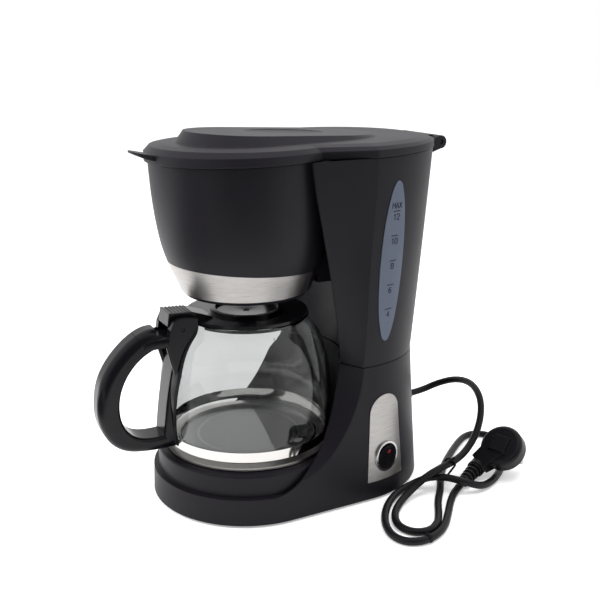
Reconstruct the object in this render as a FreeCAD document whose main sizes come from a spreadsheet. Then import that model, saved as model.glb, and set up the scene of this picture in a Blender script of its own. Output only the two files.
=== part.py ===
import FreeCAD, Part
import math
import os

import Sketcher

# Drip coffee maker, millimetres, +Z up, front towards -Y.
# All pieces are drawn about the carafe's axis and shifted back by axis_shift.
DIMENSIONS = {
    "axis_shift": -22.0,
    # Lower housing
    "column_y": 75.0,
    "shell_base": 2.0,
    "base_front_radius": 82.0,
    "base_back_radius": 81.0,
    "hip_height": 60.0,
    "hip_front_radius": 80.0,
    "hip_back_radius": 77.0,
    "waist_height": 116.0,
    "waist_front_radius": 78.0,
    "waist_back_radius": 73.5,
    "wall": 2.5,
    "bay_radius": 79.5,
    "ledge_height": 24.0,
    "deck_radius": 77.0,
    "deck_top": 43.0,
    "deck_flange": 2.5,
    "deck_opening": 66.6,
    # Upper housing
    "parting_gap": 0.5,
    "tank_mid_height": 200.0,
    "tank_mid_radius": 80.0,
    "tank_top_height": 300.0,
    "tank_top_radius": 87.0,
    "tank_front_radius": 80.5,
    "tank_floor": 3.0,
    "rim_height": 282.5,
    "rim_tilt": 2.0,
    "bridge_depth": 15.0,
    # Lid
    "lid_front_radius": 78.0,
    "lid_back_radius": 87.0,
    "lid_rim": 7.0,
    "lid_bevel": 4.5,
    "lid_bevel_inset": 4.5,
    "lid_crown": 1.5,
    "lid_wall": 2.5,
    "panel_radius": 54.0,
    "panel_tail_radius": 48.0,
    "panel_top_radius": 46.5,
    "panel_top_tail": 42.0,
    "panel_room_radius": 44.0,
    "panel_room_tail": 38.5,
    "panel_tail_y": 70.0,
    "panel_rise": 10.6,
    "rim_fall": 0.6,
    "crown_fall": 1.3,
    "panel_fall": 4.2,
    "crown_inset": 14.0,
    "dent_y": 36.0,
    "dent_half_width": 24.0,
    "dent_half_length": 33.0,
    "dent_depth": 1.6,
    "tab_half": 13.0,
    "tab_round": 22.0,
    "lid_gap": 0.4,
    "hinge_y": 168.5,
    "hinge_z": 287.5,
    "hinge_pin_radius": 2.0,
    "hinge_fit": 0.05,
    "hinge_pin_recess": 1.0,
    "strap_length": 12.0,
    "strap_thickness": 4.0,
    "knuckle_radius": 5.5,
    "tongue_half": 19.0,
    "lug_gap": 0.5,
    "lug_width": 9.0,
    "shower_radius": 56.0,
    "shower_plate": 1.6,
    "shower_hole": 2.0,
    "shower_ring": 30.0,
    "shower_post_ring": 38.0,
    "shower_post_radius": 3.0,
    # Warming plate and heater
    "plate_radius": 70.6,
    "plate_top": 46.0,
    "plate_base": 43.6,
    "plate_spigot": 66.2,
    "plate_spigot_inner": 63.0,
    "plate_spigot_base": 40.6,
    "gasket_inner": 66.9,
    "gasket_outer": 70.2,
    "spreader_radius": 60.0,
    "spreader_base": 39.8,
    "element_ring": 46.0,
    "element_radius": 5.0,
    "element_height": 34.6,
    "element_end_y": 98.0,
    "element_hole": 5.8,
    "clamp_width": 12.0,
    "clamp_thickness": 3.5,
    "thermostat_radius": 11.0,
    "thermostat_height": 8.0,
    "fuse_radius": 3.0,
    "fuse_length": 22.0,
    # Water path
    "pipe_x": 24.0,
    "pipe_y": 112.0,
    "hose_radius": 6.5,
    "hose_bore": 5.1,
    "hose_lap_y": 88.0,
    "valve_radius": 9.0,
    "valve_base": 92.0,
    "valve_top": 115.8,
    "valve_neck": 5.0,
    "valve_bore": 6.0,
    "ball_radius": 4.0,
    "ball_height": 106.7,
    "riser_top": 262.0,
    "spout_height": 268.5,
    "spout_radius": 6.0,
    "spout_bore": 4.2,
    # Feet and base plate
    "plate_cover_thickness": 2.0,
    "cover_front_radius": 78.8,
    "cover_back_radius": 77.8,
    "foot_radius": 8.0,
    "foot_x": 52.0,
    "foot_front_y": -42.0,
    "foot_back_y": 112.0,
    "screw_radius": 1.5,
    "screw_hole": 1.7,
    "screw_head": 3.2,
    "screw_length": 14.0,
    "boss_radius": 5.0,
    "boss_top": 41.0,
    "screw_x": 68.0,
    "screw_front_y": -22.0,
    "screw_back_y": 100.0,
    # Brew drum
    "drum_wall": 2.4,
    "drum_floor": 2.5,
    "drum_base": 173.0,
    "drum_outlet": 12.0,
    "band_base": 176.0,
    "band_top": 201.0,
    "band_slope": 3.5,
    "band_thickness": 0.6,
    # Filter
    "basket_wall": 1.8,
    "basket_base": 176.0,
    "basket_foot_radius": 46.0,
    "basket_rim_radius": 69.0,
    "basket_rim": 262.0,
    "nozzle_radius": 8.0,
    "nozzle_base": 166.5,
    "nozzle_bore": 5.2,
    "mesh_foot": 192.0,
    "mesh_foot_radius": 40.0,
    "mesh_rim_radius": 64.5,
    "mesh_rim": 259.0,
    "mesh_wall": 1.0,
    "drip_pin_radius": 3.5,
    "drip_pin_base": 161.5,
    "drip_head_radius": 7.0,
    "drip_head": 2.0,
    "seal_thickness": 1.5,
    # Carafe
    "glass_wall": 2.2,
    "glass_base": 46.2,
    "glass_top": 153.0,
    "carafe_band_base": 50.4,
    "carafe_band_top": 58.4,
    "carafe_band_radius": 69.2,
    "carafe_band_gap": 0.15,
    "handle_width": 25.0,
    "handle_round": 8.0,
    "finger_round": 3.0,
    "glass_clearance": 0.4,
    "saddle_outside": 2.8,
    "cheek_width": 6.0,
    "pocket_back": -81.0,
    "pocket_floor": 145.5,
    "lever_pin_y": -61.5,
    "lever_pin_z": 151.5,
    "lever_pin_radius": 1.5,
    "lever_fit": 0.05,
    "lever_width": 22.0,
    "lever_groove": 0.8,
    "lever_groove_pitch": 3.0,
    "yoke_gap": 0.6,
    "arm_front": -66.0,
    "arm_length": 26.0,
    "arm_thickness": 5.0,
    "carafe_lid_radius": 50.5,
    "carafe_lid_base": 153.4,
    "carafe_lid_edge": 156.2,
    "carafe_lid_ring": 30.0,
    "carafe_lid_ring_top": 158.5,
    "carafe_lid_hole": 2.4,
    "carafe_lid_dish": 24.0,
    "carafe_lid_dish_depth": 1.5,
    "carafe_lid_skirt": 47.0,
    "carafe_lid_skirt_wall": 2.0,
    "carafe_lid_skirt_depth": 4.0,
    # Switch and window
    "switch_angle": 11.7,
    "switch_height": 36.5,
    "switch_half_width": 10.4,
    "switch_half_height": 11.7,
    "switch_radius": 78.9,
    "bezel_width": 1.6,
    "bezel_proud": 1.4,
    "rocker_gap": 0.4,
    "rocker_pin_radius": 1.2,
    "rocker_fit": 0.05,
    "rocker_depth": 7.6,
    "rocker_axle_depth": 5.0,
    "rocker_cap_depth": 2.0,
    "rocker_stem_width": 7.8,
    "rocker_stem_height": 4.0,
    "plate_lift": 0.15,
    "rocker_off_tilt": 7.0,
    "plate_thickness": 0.7,
    "window_angle": 11.0,
    "window_half": 11.5,
    "window_base": 137.0,
    "window_top": 267.0,
    "window_lean": 4.0,
    "window_gap": 0.15,
    "window_proud": 0.5,
    # Cord and plug
    "cord_radius": 3.1,
    "gland_angle": 95.0,
    "gland_height": 47.0,
    "gland_end": 97.0,
    "relief_length": 22.0,
    "relief_radius": 6.6,
    "relief_core": 5.0,
    "relief_rib": 2.2,
    "plug_disc_radius": 19.0,
    "plug_disc_depth": 13.0,
    "plug_edge_round": 4.0,
    "plug_boss_half": 8.5,
    "plug_boss_top_half": 7.0,
    "plug_boss_rise": 4.0,
    "plug_neck_radius": 7.5,
    "plug_collar": 8.5,
    "plug_block_half": 11.0,
    "plug_block_depth": 9.0,
    "plug_x": 92.6,
    "plug_y": 201.9,
    "plug_z": 26.4,
    "plug_pin_radius": 2.4,
    "plug_pin_length": 19.0,
    "plug_pin_pitch": 19.0,
    "tie_radius": 0.95,
    "tie_loop": 4.5,
}

document = FreeCAD.newDocument("coffee_maker")
sheet = document.addObject("Spreadsheet::Sheet", "dims")
for row, (alias, number) in enumerate(DIMENSIONS.items(), start=1):
    sheet.set(f"A{row}", str(number))
    sheet.setAlias(f"A{row}", alias)
document.recompute()

UP = FreeCAD.Vector(0, 0, 1)
ALONG_X = FreeCAD.Vector(1, 0, 0)
ORIGIN = FreeCAD.Vector(0, 0, 0)
nodes = []


def size(alias):
    return float(sheet.get(alias))


def vector(x, y, z=0.0):
    return FreeCAD.Vector(x, y, z)


def bind(thing, **expressions):
    for prop, expression in expressions.items():
        thing.setExpression(prop.replace("__", "."), expression)
    return thing


def keep(thing, label):
    """Name a finished sub-part and shift it from the carafe's axis to the part's own origin."""
    thing.Label = label
    thing.setExpression("Placement.Base.y", "dims.axis_shift + " + repr(thing.Placement.Base.y))
    nodes.append(thing)
    return thing


def shaped(label, shape):
    """A sub-part whose form is worked out here from the sheet's sizes."""
    feature = document.addObject("Part::Feature", label)
    feature.Shape = shape
    return keep(feature, label)


def outline_sketch(body, corners):
    """A closed outline of (radius, height) cells on the body's XZ plane."""
    sketch = body.newObject("Sketcher::SketchObject", body.Name + "_outline")
    plane = [part for part in body.Origin.OriginFeatures if part.Role == "XZ_Plane"][0]
    sketch.AttachmentSupport = (plane, "")
    sketch.MapMode = "FlatFace"
    points = [vector(size(radius) if radius else 0.0, size(height)) for radius, height in corners]
    for start, end in zip(points, points[1:] + points[:1]):
        sketch.addGeometry(Part.LineSegment(start, end))
    for index in range(len(points)):
        following = (index + 1) % len(points)
        sketch.addConstraint(Sketcher.Constraint("Coincident", index, 2, following, 1))
    for index, (radius, height) in enumerate(corners):
        if radius:
            constraint = Sketcher.Constraint("DistanceX", -1, 1, index, 1, size(radius))
            number = sketch.addConstraint(constraint)
            sketch.setExpression(f"Constraints[{number}]", f"dims.{radius}")
        else:
            sketch.addConstraint(Sketcher.Constraint("PointOnObject", index, 1, -2))
        constraint = Sketcher.Constraint("DistanceY", -1, 1, index, 1, size(height))
        number = sketch.addConstraint(constraint)
        sketch.setExpression(f"Constraints[{number}]", f"dims.{height}")
    return sketch


def turned(label, corners):
    """A round piece revolved about the carafe's axis."""
    body = document.addObject("PartDesign::Body", label)
    sketch = outline_sketch(body, corners)
    revolution = body.newObject("PartDesign::Revolution", label + "_turn")
    revolution.Profile = sketch
    revolution.ReferenceAxis = (sketch, ["V_Axis"])
    revolution.Angle = 360.0
    return body


def cylinder(name, radius, height, x="0", y="0", z="0"):
    """A bound cylinder standing on (x, y, z)."""
    thing = document.addObject("Part::Cylinder", name)
    places = {"Placement__Base__x": x, "Placement__Base__y": y, "Placement__Base__z": z}
    return bind(thing, Radius=radius, Height=height, **places)


def stadium(front_radius, back_radius, height, front_y=0.0):
    """The machine's plan at one height: front and back arcs joined by tangent-like sides."""
    back_y = size("column_y")
    front = Part.Arc(
        vector(-front_radius, front_y, height),
        vector(0, front_y - front_radius, height),
        vector(front_radius, front_y, height),
    )
    back = Part.Arc(
        vector(back_radius, back_y, height),
        vector(0, back_y + back_radius, height),
        vector(-back_radius, back_y, height),
    )
    right = Part.LineSegment(vector(front_radius, front_y, height), vector(back_radius, back_y, height))
    left = Part.LineSegment(vector(-back_radius, back_y, height), vector(-front_radius, front_y, height))
    return Part.Wire([edge.toShape() for edge in (front, right, back, left)])


def lower_column(offset, bottom, top):
    """The lower housing's outer form, grown by offset, between two heights."""
    rows = (
        ("base_front_radius", "base_back_radius", bottom),
        ("hip_front_radius", "hip_back_radius", size("hip_height")),
        ("waist_front_radius", "waist_back_radius", top),
    )
    wires = [stadium(size(front) + offset, size(back) + offset, height) for front, back, height in rows]
    return Part.makeLoft(wires, True, False)


def upper_column(offset, bottom, top):
    """The tank's outer form, grown by offset, flaring towards the lid."""
    rows = (
        ("waist_back_radius", bottom),
        ("tank_mid_radius", size("tank_mid_height")),
        ("tank_top_radius", top),
    )
    front_y = size("column_y") - 55.0
    wires = [stadium(size(name) + offset, size(name) + offset, height, front_y) for name, height in rows]
    return Part.makeLoft(wires, True, False)


def disc(radius, bottom, top, x=0.0, y=0.0):
    return Part.makeCylinder(radius, top - bottom, vector(x, y, bottom))


def without(shape, tools):
    """The shape after each tool in turn has been cut away."""
    for tool in tools:
        shape = shape.cut(tool)
    return shape


def mirrored(shape):
    return shape.mirror(ORIGIN, ALONG_X)


# Chamfer of the column's front corners: (front edge, outer corner, height) going up.
LOWER_CHAMFER = (
    ((80.4, 12.0), (81.6, 30.0), 34.0),
    ((73.0, 37.6), (79.5, 52.0), 61.0),
    ((66.5, 49.0), (76.8, 63.0), 85.0),
    ((56.0, 60.5), (74.2, 69.5), 118.0),
)
UPPER_CHAMFER = (
    ((56.0, 60.5), (74.0, 69.5), 115.0),
    ((67.5, 49.0), (77.8, 69.9), 172.0),
    ((73.6, 39.4), (81.2, 70.5), 216.0),
    ((79.5, 26.0), (87.4, 72.0), 301.0),
)


def chamfer_cutter(rows, inward):
    """The wedge in front of one chamfer, moved inward by the wall where it shapes the inside."""
    wires = []
    for (edge_x, edge_y), (corner_x, corner_y), height in rows:
        along = vector(corner_x - edge_x, corner_y - edge_y).normalize()
        out = vector(along.y, -along.x)
        start = vector(edge_x, edge_y, height) - along * 45.0 - out * inward
        end = vector(corner_x, corner_y, height) + along * 45.0 - out * inward
        wires.append(Part.makePolygon([start, end, end + out * 70.0, start + out * 70.0, start]))
    return Part.makeLoft(wires, True, False)


def both_chamfers(rows, inward=0.0):
    right = chamfer_cutter(rows, inward)
    return [right, mirrored(right)]


# Height of the side wall's top edge along the machine, from the front ledge up the column.
SWOOSH = ((-18.0, 24.0), (0.0, 27.5), (15.0, 38.0), (26.0, 50.0), (36.0, 66.0), (44.0, 88.0), (49.0, 125.0))


def scoop(drop=0.0):
    """Everything above the sweeping top edge of the side walls."""
    reach = 130.0
    points = [vector(-reach, y, z - drop) for y, z in SWOOSH]
    curve = Part.BSplineCurve()
    curve.interpolate(points)
    first = vector(-reach, -reach, SWOOSH[0][1] - drop)
    roof = 140.0
    last = points[-1]
    edges = [
        Part.makeLine(first, points[0]),
        curve.toShape(),
        Part.makeLine(last, vector(-reach, last.y, roof)),
        Part.makeLine(vector(-reach, last.y, roof), vector(-reach, -reach, roof)),
        Part.makeLine(vector(-reach, -reach, roof), first),
    ]
    return Part.Face(Part.Wire(edges)).extrude(vector(2 * reach, 0, 0))


def corners_of(half_x, front_y, back_y):
    return [(sign * size(half_x), size(y)) for y in (front_y, back_y) for sign in (-1, 1)]


def oval_prism(half_width, half_height, start, end):
    """An upright oval tool along +X at the switch's height, turned to the switch's place."""
    ellipse = Part.Ellipse(vector(0, 0, 0), max(half_width, half_height), min(half_width, half_height))
    face = Part.Face(Part.Wire(ellipse.toShape()))
    if half_height > half_width:
        face.rotate(ORIGIN, UP, 90)
    face.rotate(ORIGIN, ALONG_X, 90)
    face.rotate(ORIGIN, UP, 90)
    face.translate(vector(start, 0, size("switch_height")))
    return to_switch(face.extrude(vector(end - start, 0, 0)))


def to_switch(shape):
    """Carry a shape drawn beside the column's axis along +X round to the switch."""
    shape.rotate(ORIGIN, UP, size("switch_angle"))
    shape.translate(vector(0, size("column_y"), 0))
    return shape


def lower_housing():
    bottom = size("shell_base")
    top = size("waist_height")
    wall = size("wall")
    ledge = size("ledge_height")
    deck_top = size("deck_top")
    outer = lower_column(0.0, bottom, top)
    bay = disc(size("bay_radius"), ledge, 200.0)
    shell = without(outer, [scoop(), bay] + both_chamfers(LOWER_CHAMFER))
    deck = disc(size("deck_radius"), ledge - wall, deck_top)
    rim = [edge for edge in deck.Edges if abs(edge.CenterOfMass.z - deck_top) < 0.01]
    behind_deck = disc(size("bay_radius") + 1.0, ledge - wall, deck_top - 1.0)
    behind_deck = behind_deck.common(Part.makeBox(72.0, 40.0, 60.0, vector(-36.0, 50.0, 0.0)))
    shell = shell.fuse(deck.makeFillet(2.5, rim)).fuse(behind_deck)
    column = lower_column(-wall, bottom - 1.0, top + 1.0)
    bay_wall = disc(size("bay_radius") + wall, ledge - wall, 200.0)
    column = without(column, [scoop(wall + 1.0), bay_wall] + both_chamfers(LOWER_CHAMFER, wall))
    under_deck = disc(size("deck_radius") - wall, 0.0, deck_top - size("deck_flange"))
    opening = disc(size("deck_opening"), 0.0, 60.0)
    shell = without(shell, [column, under_deck, opening] + element_holes())
    bosses = []
    holes = []
    for x, y in corners_of("screw_x", "screw_front_y", "screw_back_y"):
        base = size("shell_base") + size("plate_cover_thickness") + 0.3
        bosses.append(disc(size("boss_radius"), base, size("boss_top"), x, y).common(outer))
        holes.append(disc(size("screw_hole"), 0.0, 19.0, x, y))
    shell = without(shell.fuse(bosses), holes)
    switch_gap = oval_prism(size("switch_half_width") - 0.2, size("switch_half_height") - 0.2, 60.0, 95.0)
    return without(shell, [switch_gap, gland_hole()]).removeSplitter()


def element_holes():
    """The two holes that the heater's ends pass through on their way into the column."""
    holes = []
    for sign in (-1, 1):
        start = vector(sign * size("pipe_x"), 60.0, size("element_height"))
        holes.append(Part.makeCylinder(size("element_hole"), 34.0, start, vector(0, 1, 0)))
    return holes


def switch_plate():
    """The arched steel plate that lies on the column round the switch."""
    bottom = size("shell_base")
    top = size("waist_height")
    skin = lower_column(size("plate_thickness"), bottom, top).cut(lower_column(size("plate_lift"), bottom - 1, top + 1))
    low, shoulder, peak = 17.0, 76.0, 90.0
    low_half, high_half = 19.5, 15.5
    reach = 70.0
    edges = [
        Part.makeLine(vector(reach, low_half, low), vector(reach, -low_half, low)),
        Part.makeLine(vector(reach, -low_half, low), vector(reach, -high_half, shoulder)),
        Part.Arc(
            vector(reach, -high_half, shoulder), vector(reach, 4.0, peak), vector(reach, high_half, shoulder + 3)
        ).toShape(),
        Part.makeLine(vector(reach, high_half, shoulder + 3), vector(reach, low_half, low)),
    ]
    prism = to_switch(Part.Face(Part.Wire(edges)).extrude(vector(20.0, 0, 0)))
    half_width = size("switch_half_width") + size("bezel_width") + 0.1
    half_height = size("switch_half_height") + size("bezel_width") + 0.1
    return skin.common(prism).cut(oval_prism(half_width, half_height, 60.0, 95.0))


def switch_bezel():
    face = size("switch_radius") + size("bezel_proud")
    width = size("bezel_width")
    outer = oval_prism(size("switch_half_width") + width, size("switch_half_height") + width, 74.0, face)
    outer = outer.cut(lower_column(size("plate_lift"), size("shell_base") - 1.0, size("waist_height")))
    return outer.cut(oval_prism(size("switch_half_width"), size("switch_half_height"), 60.0, 95.0))


def switch_face():
    return size("switch_radius") + size("bezel_proud")


def switch_rocker():
    """The rocker's oval cap on a narrow stem, drawn tilted to off."""
    gap = size("rocker_gap")
    face = switch_face()
    half_width = size("switch_half_width") - gap - 0.3
    half_height = size("switch_half_height") - gap - 0.8
    cap = oval_prism(half_width, half_height, face - size("rocker_cap_depth"), face + 2.0)
    stem = oval_prism(size("rocker_stem_width"), size("rocker_stem_height"), face - size("rocker_depth"), face - 1.0)
    dish = Part.makeCylinder(70.0, 60.0, vector(face + 70.2, -30.0, size("switch_height")), vector(0, 1, 0))
    bore = rocker_axle(size("rocker_pin_radius") + size("rocker_fit"), 30.0)
    rocker = without(cap.fuse(stem), [to_switch(dish), bore])
    centre, axis = rocker_axis()
    rocker.rotate(centre, axis, size("rocker_off_tilt"))
    return rocker


def rocker_axle(radius, length):
    start = vector(switch_face() - size("rocker_axle_depth"), -length / 2.0, size("switch_height"))
    return to_switch(Part.makeCylinder(radius, length, start, vector(0, 1, 0)))


def rocker_axis():
    distance = switch_face() - size("rocker_axle_depth")
    turn = math.radians(size("switch_angle"))
    centre = vector(distance * math.cos(turn), size("column_y") + distance * math.sin(turn), size("switch_height"))
    return centre, vector(-math.sin(turn), math.cos(turn))


def switch_body():
    """The snap-in switch behind the rocker, with its two bearing cheeks and terminals."""
    back = 58.0
    cheek = switch_face() - 3.6
    floor = switch_face() - size("rocker_depth") - 2.6
    half_width = size("switch_half_width") - 0.4
    half_height = size("switch_half_height") - 0.4
    body = oval_prism(half_width, half_height, back, cheek)
    cup = oval_prism(half_width - 1.7, half_height - 0.6, floor, cheek + 5.0)
    body = without(body, [cup, rocker_axle(size("rocker_pin_radius") + 0.02, 60.0)])
    blades = []
    for rise in (-5.0, 5.0):
        blade = Part.makeBox(9.0, 6.0, 0.8, vector(back - 9.0, -3.0, size("switch_height") + rise))
        blades.append(to_switch(blade))
    return body.fuse(blades)


def gland_frame(shape):
    """Carry a shape drawn along +X from the column's axis round to the cord's way out."""
    shape.rotate(ORIGIN, UP, size("gland_angle"))
    shape.translate(vector(0, size("column_y"), size("gland_height")))
    return shape


def gland_hole():
    return gland_frame(Part.makeCylinder(6.3, 30.0, vector(66.0, 0, 0), ALONG_X))


def cord_gland():
    """A flanged bush in the column's wall with a tapered tail round the cord."""
    bush = Part.makeCylinder(6.0, 10.0, vector(70.0, 0, 0), ALONG_X)
    inner_flange = Part.makeCylinder(8.0, 2.0, vector(70.0, 0, 0), ALONG_X)
    outer_flange = Part.makeCylinder(8.0, 2.5, vector(79.5, 0, 0), ALONG_X)
    tail = Part.makeCone(6.0, 4.3, size("gland_end") - 82.0, vector(82.0, 0, 0), ALONG_X)
    bore = Part.makeCylinder(size("cord_radius"), 60.0, vector(60.0, 0, 0), ALONG_X)
    return gland_frame(bush.fuse([inner_flange, outer_flange, tail]).cut(bore))


# The cord's way from the gland up over the arch, down into the bundle and on to the plug.
CORD_ROUTE = (
    (-8.45, 171.63, 47.0), (-9.67, 185.58, 47.0), (-5.0, 200.0, 53.5), (10.0, 210.0, 61.5), (31.0, 212.0, 65.0),
    (52.0, 207.0, 60.0), (65.0, 199.0, 48.0), (73.0, 188.0, 34.5), (79.0, 174.0, 24.8), (85.0, 158.0, 20.8),
    (89.5, 141.0, 20.6), (91.5, 124.0, 15.2), (97.0, 107.0, 5.2), (106.0, 90.0, 3.3), (119.0, 76.5, 3.3),
    (134.0, 73.0, 3.3), (143.0, 82.5, 3.3), (140.0, 97.0, 3.3), (127.0, 109.5, 3.3), (111.0, 121.0, 3.3),
    (96.5, 134.0, 4.2), (81.0, 145.0, 5.6), (63.0, 161.0, 4.4), (44.0, 182.0, 3.3), (26.0, 205.0, 3.3),
    (16.0, 225.0, 3.3), (23.0, 241.0, 3.3), (41.0, 244.0, 3.3), (60.0, 234.0, 3.3), (77.0, 218.0, 3.3),
    (92.0, 201.0, 3.3), (104.0, 183.0, 3.3), (110.0, 166.0, 5.4), (106.0, 151.0, 11.8), (94.0, 141.0, 12.8),
    (83.0, 131.0, 10.4), (78.0, 115.0, 4.0), (85.0, 96.0, 3.3), (99.0, 77.0, 3.3), (118.0, 62.5, 3.3),
    (138.0, 57.0, 3.3), (154.5, 64.0, 3.3), (157.0, 81.5, 3.3), (147.0, 101.0, 3.3), (131.0, 117.0, 3.3),
    (115.0, 131.0, 3.3), (102.5, 145.0, 3.4), (97.0, 157.0, 5.6),
)


def tangent_path(points):
    """Straight runs joined by arcs as large as the runs allow, and the arcs' radii."""
    edges, radii = [], []
    here = points[0]
    for before, corner, after in zip(points, points[1:], points[2:]):
        back = before - corner
        ahead = after - corner
        reach = 0.45 * min(back.Length, ahead.Length)
        half_turn = (math.pi - back.getAngle(ahead)) / 2.0
        radius = reach / math.tan(half_turn)
        back.normalize()
        ahead.normalize()
        start, end = corner + back * reach, corner + ahead * reach
        inward = (back + ahead).normalize()
        middle = corner + inward * (math.hypot(radius, reach) - radius)
        edges.append(Part.makeLine(here, start))
        edges.append(Part.Arc(start, middle, end).toShape())
        radii.append(radius)
        here = end
    edges.append(Part.makeLine(here, points[-1]))
    return Part.Wire(edges), radii


def least_gap(path, radius):
    """The least space between two stretches of the tube that lie apart along its length."""
    step, apart = 2.0, 12
    points = path.discretize(Distance=step)
    pairs = ((one, other) for index, one in enumerate(points) for other in points[index + apart:])
    return min((one - other).Length for one, other in pairs) - 2.0 * radius


def mains_cord():
    radius = size("cord_radius")
    points = [vector(*point) for point in CORD_ROUTE]
    path, radii = tangent_path(points)
    circle = Part.Wire(Part.makeCircle(radius, points[0], points[1] - points[0]))
    tube = path.makePipeShell([circle], True, False)
    expected = math.pi * radius ** 2 * path.Length
    print(f"cord {path.Length:.0f} mm, volume {tube.Volume / expected:.3f} of section times length")
    print("cord radii", [round(value, 1) for value in radii], f"least gap {least_gap(path, radius):.2f}")
    return tube


def cord_end():
    """The cord's last point, the way it points there, and the plug's neck beyond the relief."""
    last, before = vector(*CORD_ROUTE[-1]), vector(*CORD_ROUTE[-2])
    ahead = (last - before).normalize()
    return last, ahead, last + ahead * size("relief_length")


def plug_relief():
    """The ribbed sleeve between cord and plug."""
    start, ahead, neck = cord_end()
    length = size("relief_length")
    sleeve = Part.makeCone(4.2, size("relief_core"), length, start, ahead)
    ribs = []
    count = 5
    for index in range(count):
        place = start + ahead * (1.5 + index * (length - 3.5) / (count - 1) - 0.5)
        ribs.append(Part.makeCylinder(5.2 + 0.35 * index, size("relief_rib"), place, ahead))
    ribs[-1] = Part.makeCylinder(size("relief_radius"), size("relief_rib"), neck - ahead * size("relief_rib"), ahead)
    return sleeve.fuse(ribs)


def pin_direction():
    return vector(-0.24, 0.68, -0.69).normalize()


def plug_centre():
    return vector(size("plug_x"), size("plug_y"), size("plug_z"))


def rectangle(centre, across, upward, half_across, half_up):
    """A closed rectangle about a point, spanned by two directions."""
    signs = ((-1, -1), (1, -1), (1, 1), (-1, 1), (-1, -1))
    return Part.makePolygon([centre + across * (half_across * a) + upward * (half_up * b) for a, b in signs])


def plug_block():
    """The collar beyond the relief and the squared block from there into the disc's side."""
    start, ahead, neck = cord_end()
    radius = size("plug_neck_radius")
    elbow = neck + ahead * size("plug_collar")
    along = (plug_centre() - elbow).normalize()
    across = along.cross(pin_direction()).normalize()
    upward = across.cross(along).normalize()
    ends = [rectangle(elbow, across, upward, radius, radius),
            rectangle(plug_centre(), across, upward, size("plug_block_half"), size("plug_block_depth"))]
    collar = Part.makeCylinder(radius, size("plug_collar"), neck, ahead)
    return Part.makeLoft(ends, True, True).fuse([collar, Part.makeSphere(radius, elbow)])


def plug_body():
    """A round angled plug: disc with a raised square back, and a block that takes the cord from the side."""
    down = pin_direction()
    depth = size("plug_disc_depth")
    back = plug_centre() - down * (depth / 2.0)
    plate = Part.makeCylinder(size("plug_disc_radius"), depth, back, down)
    rim = [edge for edge in plate.Edges if edge.CenterOfMass.distanceToPoint(back) < 0.01]
    across = UP.cross(down).normalize()
    upward = down.cross(across).normalize()
    foot, top = size("plug_boss_half"), size("plug_boss_top_half")
    lifted = back - down * size("plug_boss_rise")
    boss = Part.makeLoft([rectangle(back + down, across, upward, foot, foot),
                          rectangle(lifted, across, upward, top, top)], True, True)
    body = plate.makeFillet(size("plug_edge_round"), rim).fuse([boss, plug_block()])
    return body.cut(Part.makeCylinder(60.0, 40.0, back + down * depth, down))


def plug_pins():
    down = pin_direction()
    across = UP.cross(down).normalize()
    face = plug_centre() + down * (size("plug_disc_depth") / 2.0)
    pins = []
    for side in (-0.5, 0.5):
        root = face + across * (side * size("plug_pin_pitch"))
        pin = Part.makeCylinder(size("plug_pin_radius"), size("plug_pin_length"), root, down)
        tip = [edge for edge in pin.Edges if abs(edge.CenterOfMass.distanceToPoint(root)
                                                 - size("plug_pin_length")) < 0.01]
        pins.append(pin.makeFillet(1.2, tip))
    return Part.makeCompound(pins)


def cord_tie():
    """A wire tie looped round the two crossing strands of the bundle, with its twisted end."""
    foot, head = vector(77.6, 148.0, 5.5), vector(87.1, 150.0, 20.8)
    rise = (head - foot).normalize()
    along = vector(-0.6, 0.8, 0.0)
    side = rise.cross(along).normalize() * size("tie_loop")
    turn = rise * size("tie_loop")
    edges = [
        Part.Arc(foot - side, foot - turn, foot + side).toShape(),
        Part.makeLine(foot + side, head + side),
        Part.Arc(head + side, head + turn, head - side).toShape(),
        Part.makeLine(head - side, foot - side),
    ]
    loop = Part.Wire(edges)
    circle = Part.Wire(Part.makeCircle(size("tie_radius"), head + side, rise))
    ring = loop.makePipeShell([circle], True, False)
    twist = Part.makeCylinder(size("tie_radius") * 1.5, 13.0, head + turn * 0.9, along * -1.0 + rise)
    return ring.fuse(twist)


# Drum's outer profile from its foot to the rim: (radius, height).
DRUM = ((53.0, 176.0), (57.0, 185.5), (61.2, 195.0), (65.0, 205.0), (70.0, 226.0), (73.2, 250.0), (75.8, 290.0))


def drum_curve(offset):
    curve = Part.BSplineCurve()
    curve.interpolate([vector(radius + offset, 0, height) for radius, height in DRUM])
    return curve.toShape()


def drum_solid(offset, bottom):
    """The drum filled up, grown by offset, from its flat foot at the given height."""
    curve = drum_curve(offset)
    low = curve.Vertexes[0].Point
    high = curve.Vertexes[-1].Point
    foot = vector(low.x - 3.0, 0, bottom)
    edges = [
        Part.makeLine(vector(0, 0, bottom), foot),
        Part.makeLine(foot, low),
        curve,
        Part.makeLine(high, vector(0, 0, high.z)),
        Part.makeLine(vector(0, 0, high.z), vector(0, 0, bottom)),
    ]
    return Part.Face(Part.Wire(edges)).revolve(ORIGIN, UP, 360)


def above_rim(lift=0.0):
    """All space above the tilted rim that the lid rests on."""
    block = Part.makeBox(400.0, 500.0, 200.0, vector(-200.0, -250.0, size("rim_height") + lift))
    block.rotate(vector(0, 0, size("rim_height")), ALONG_X, size("rim_tilt"))
    return block


def band_cone(outside):
    """The steel band's outer surface filled up, its top edge falling towards the back."""
    solid = drum_solid(outside, size("drum_base"))
    cover = Part.makeBox(300.0, 300.0, 200.0, vector(-150.0, -150.0, size("band_top")))
    cover.rotate(vector(0, -64.0, size("band_top")), ALONG_X, -size("band_slope"))
    floor = Part.makeBox(300.0, 300.0, 60.0, vector(-150.0, -150.0, size("band_base") - 60.0))
    back = Part.makeBox(300.0, 200.0, 300.0, vector(-150.0, 36.0, 100.0))
    return solid.cut([cover, floor, back])


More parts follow.
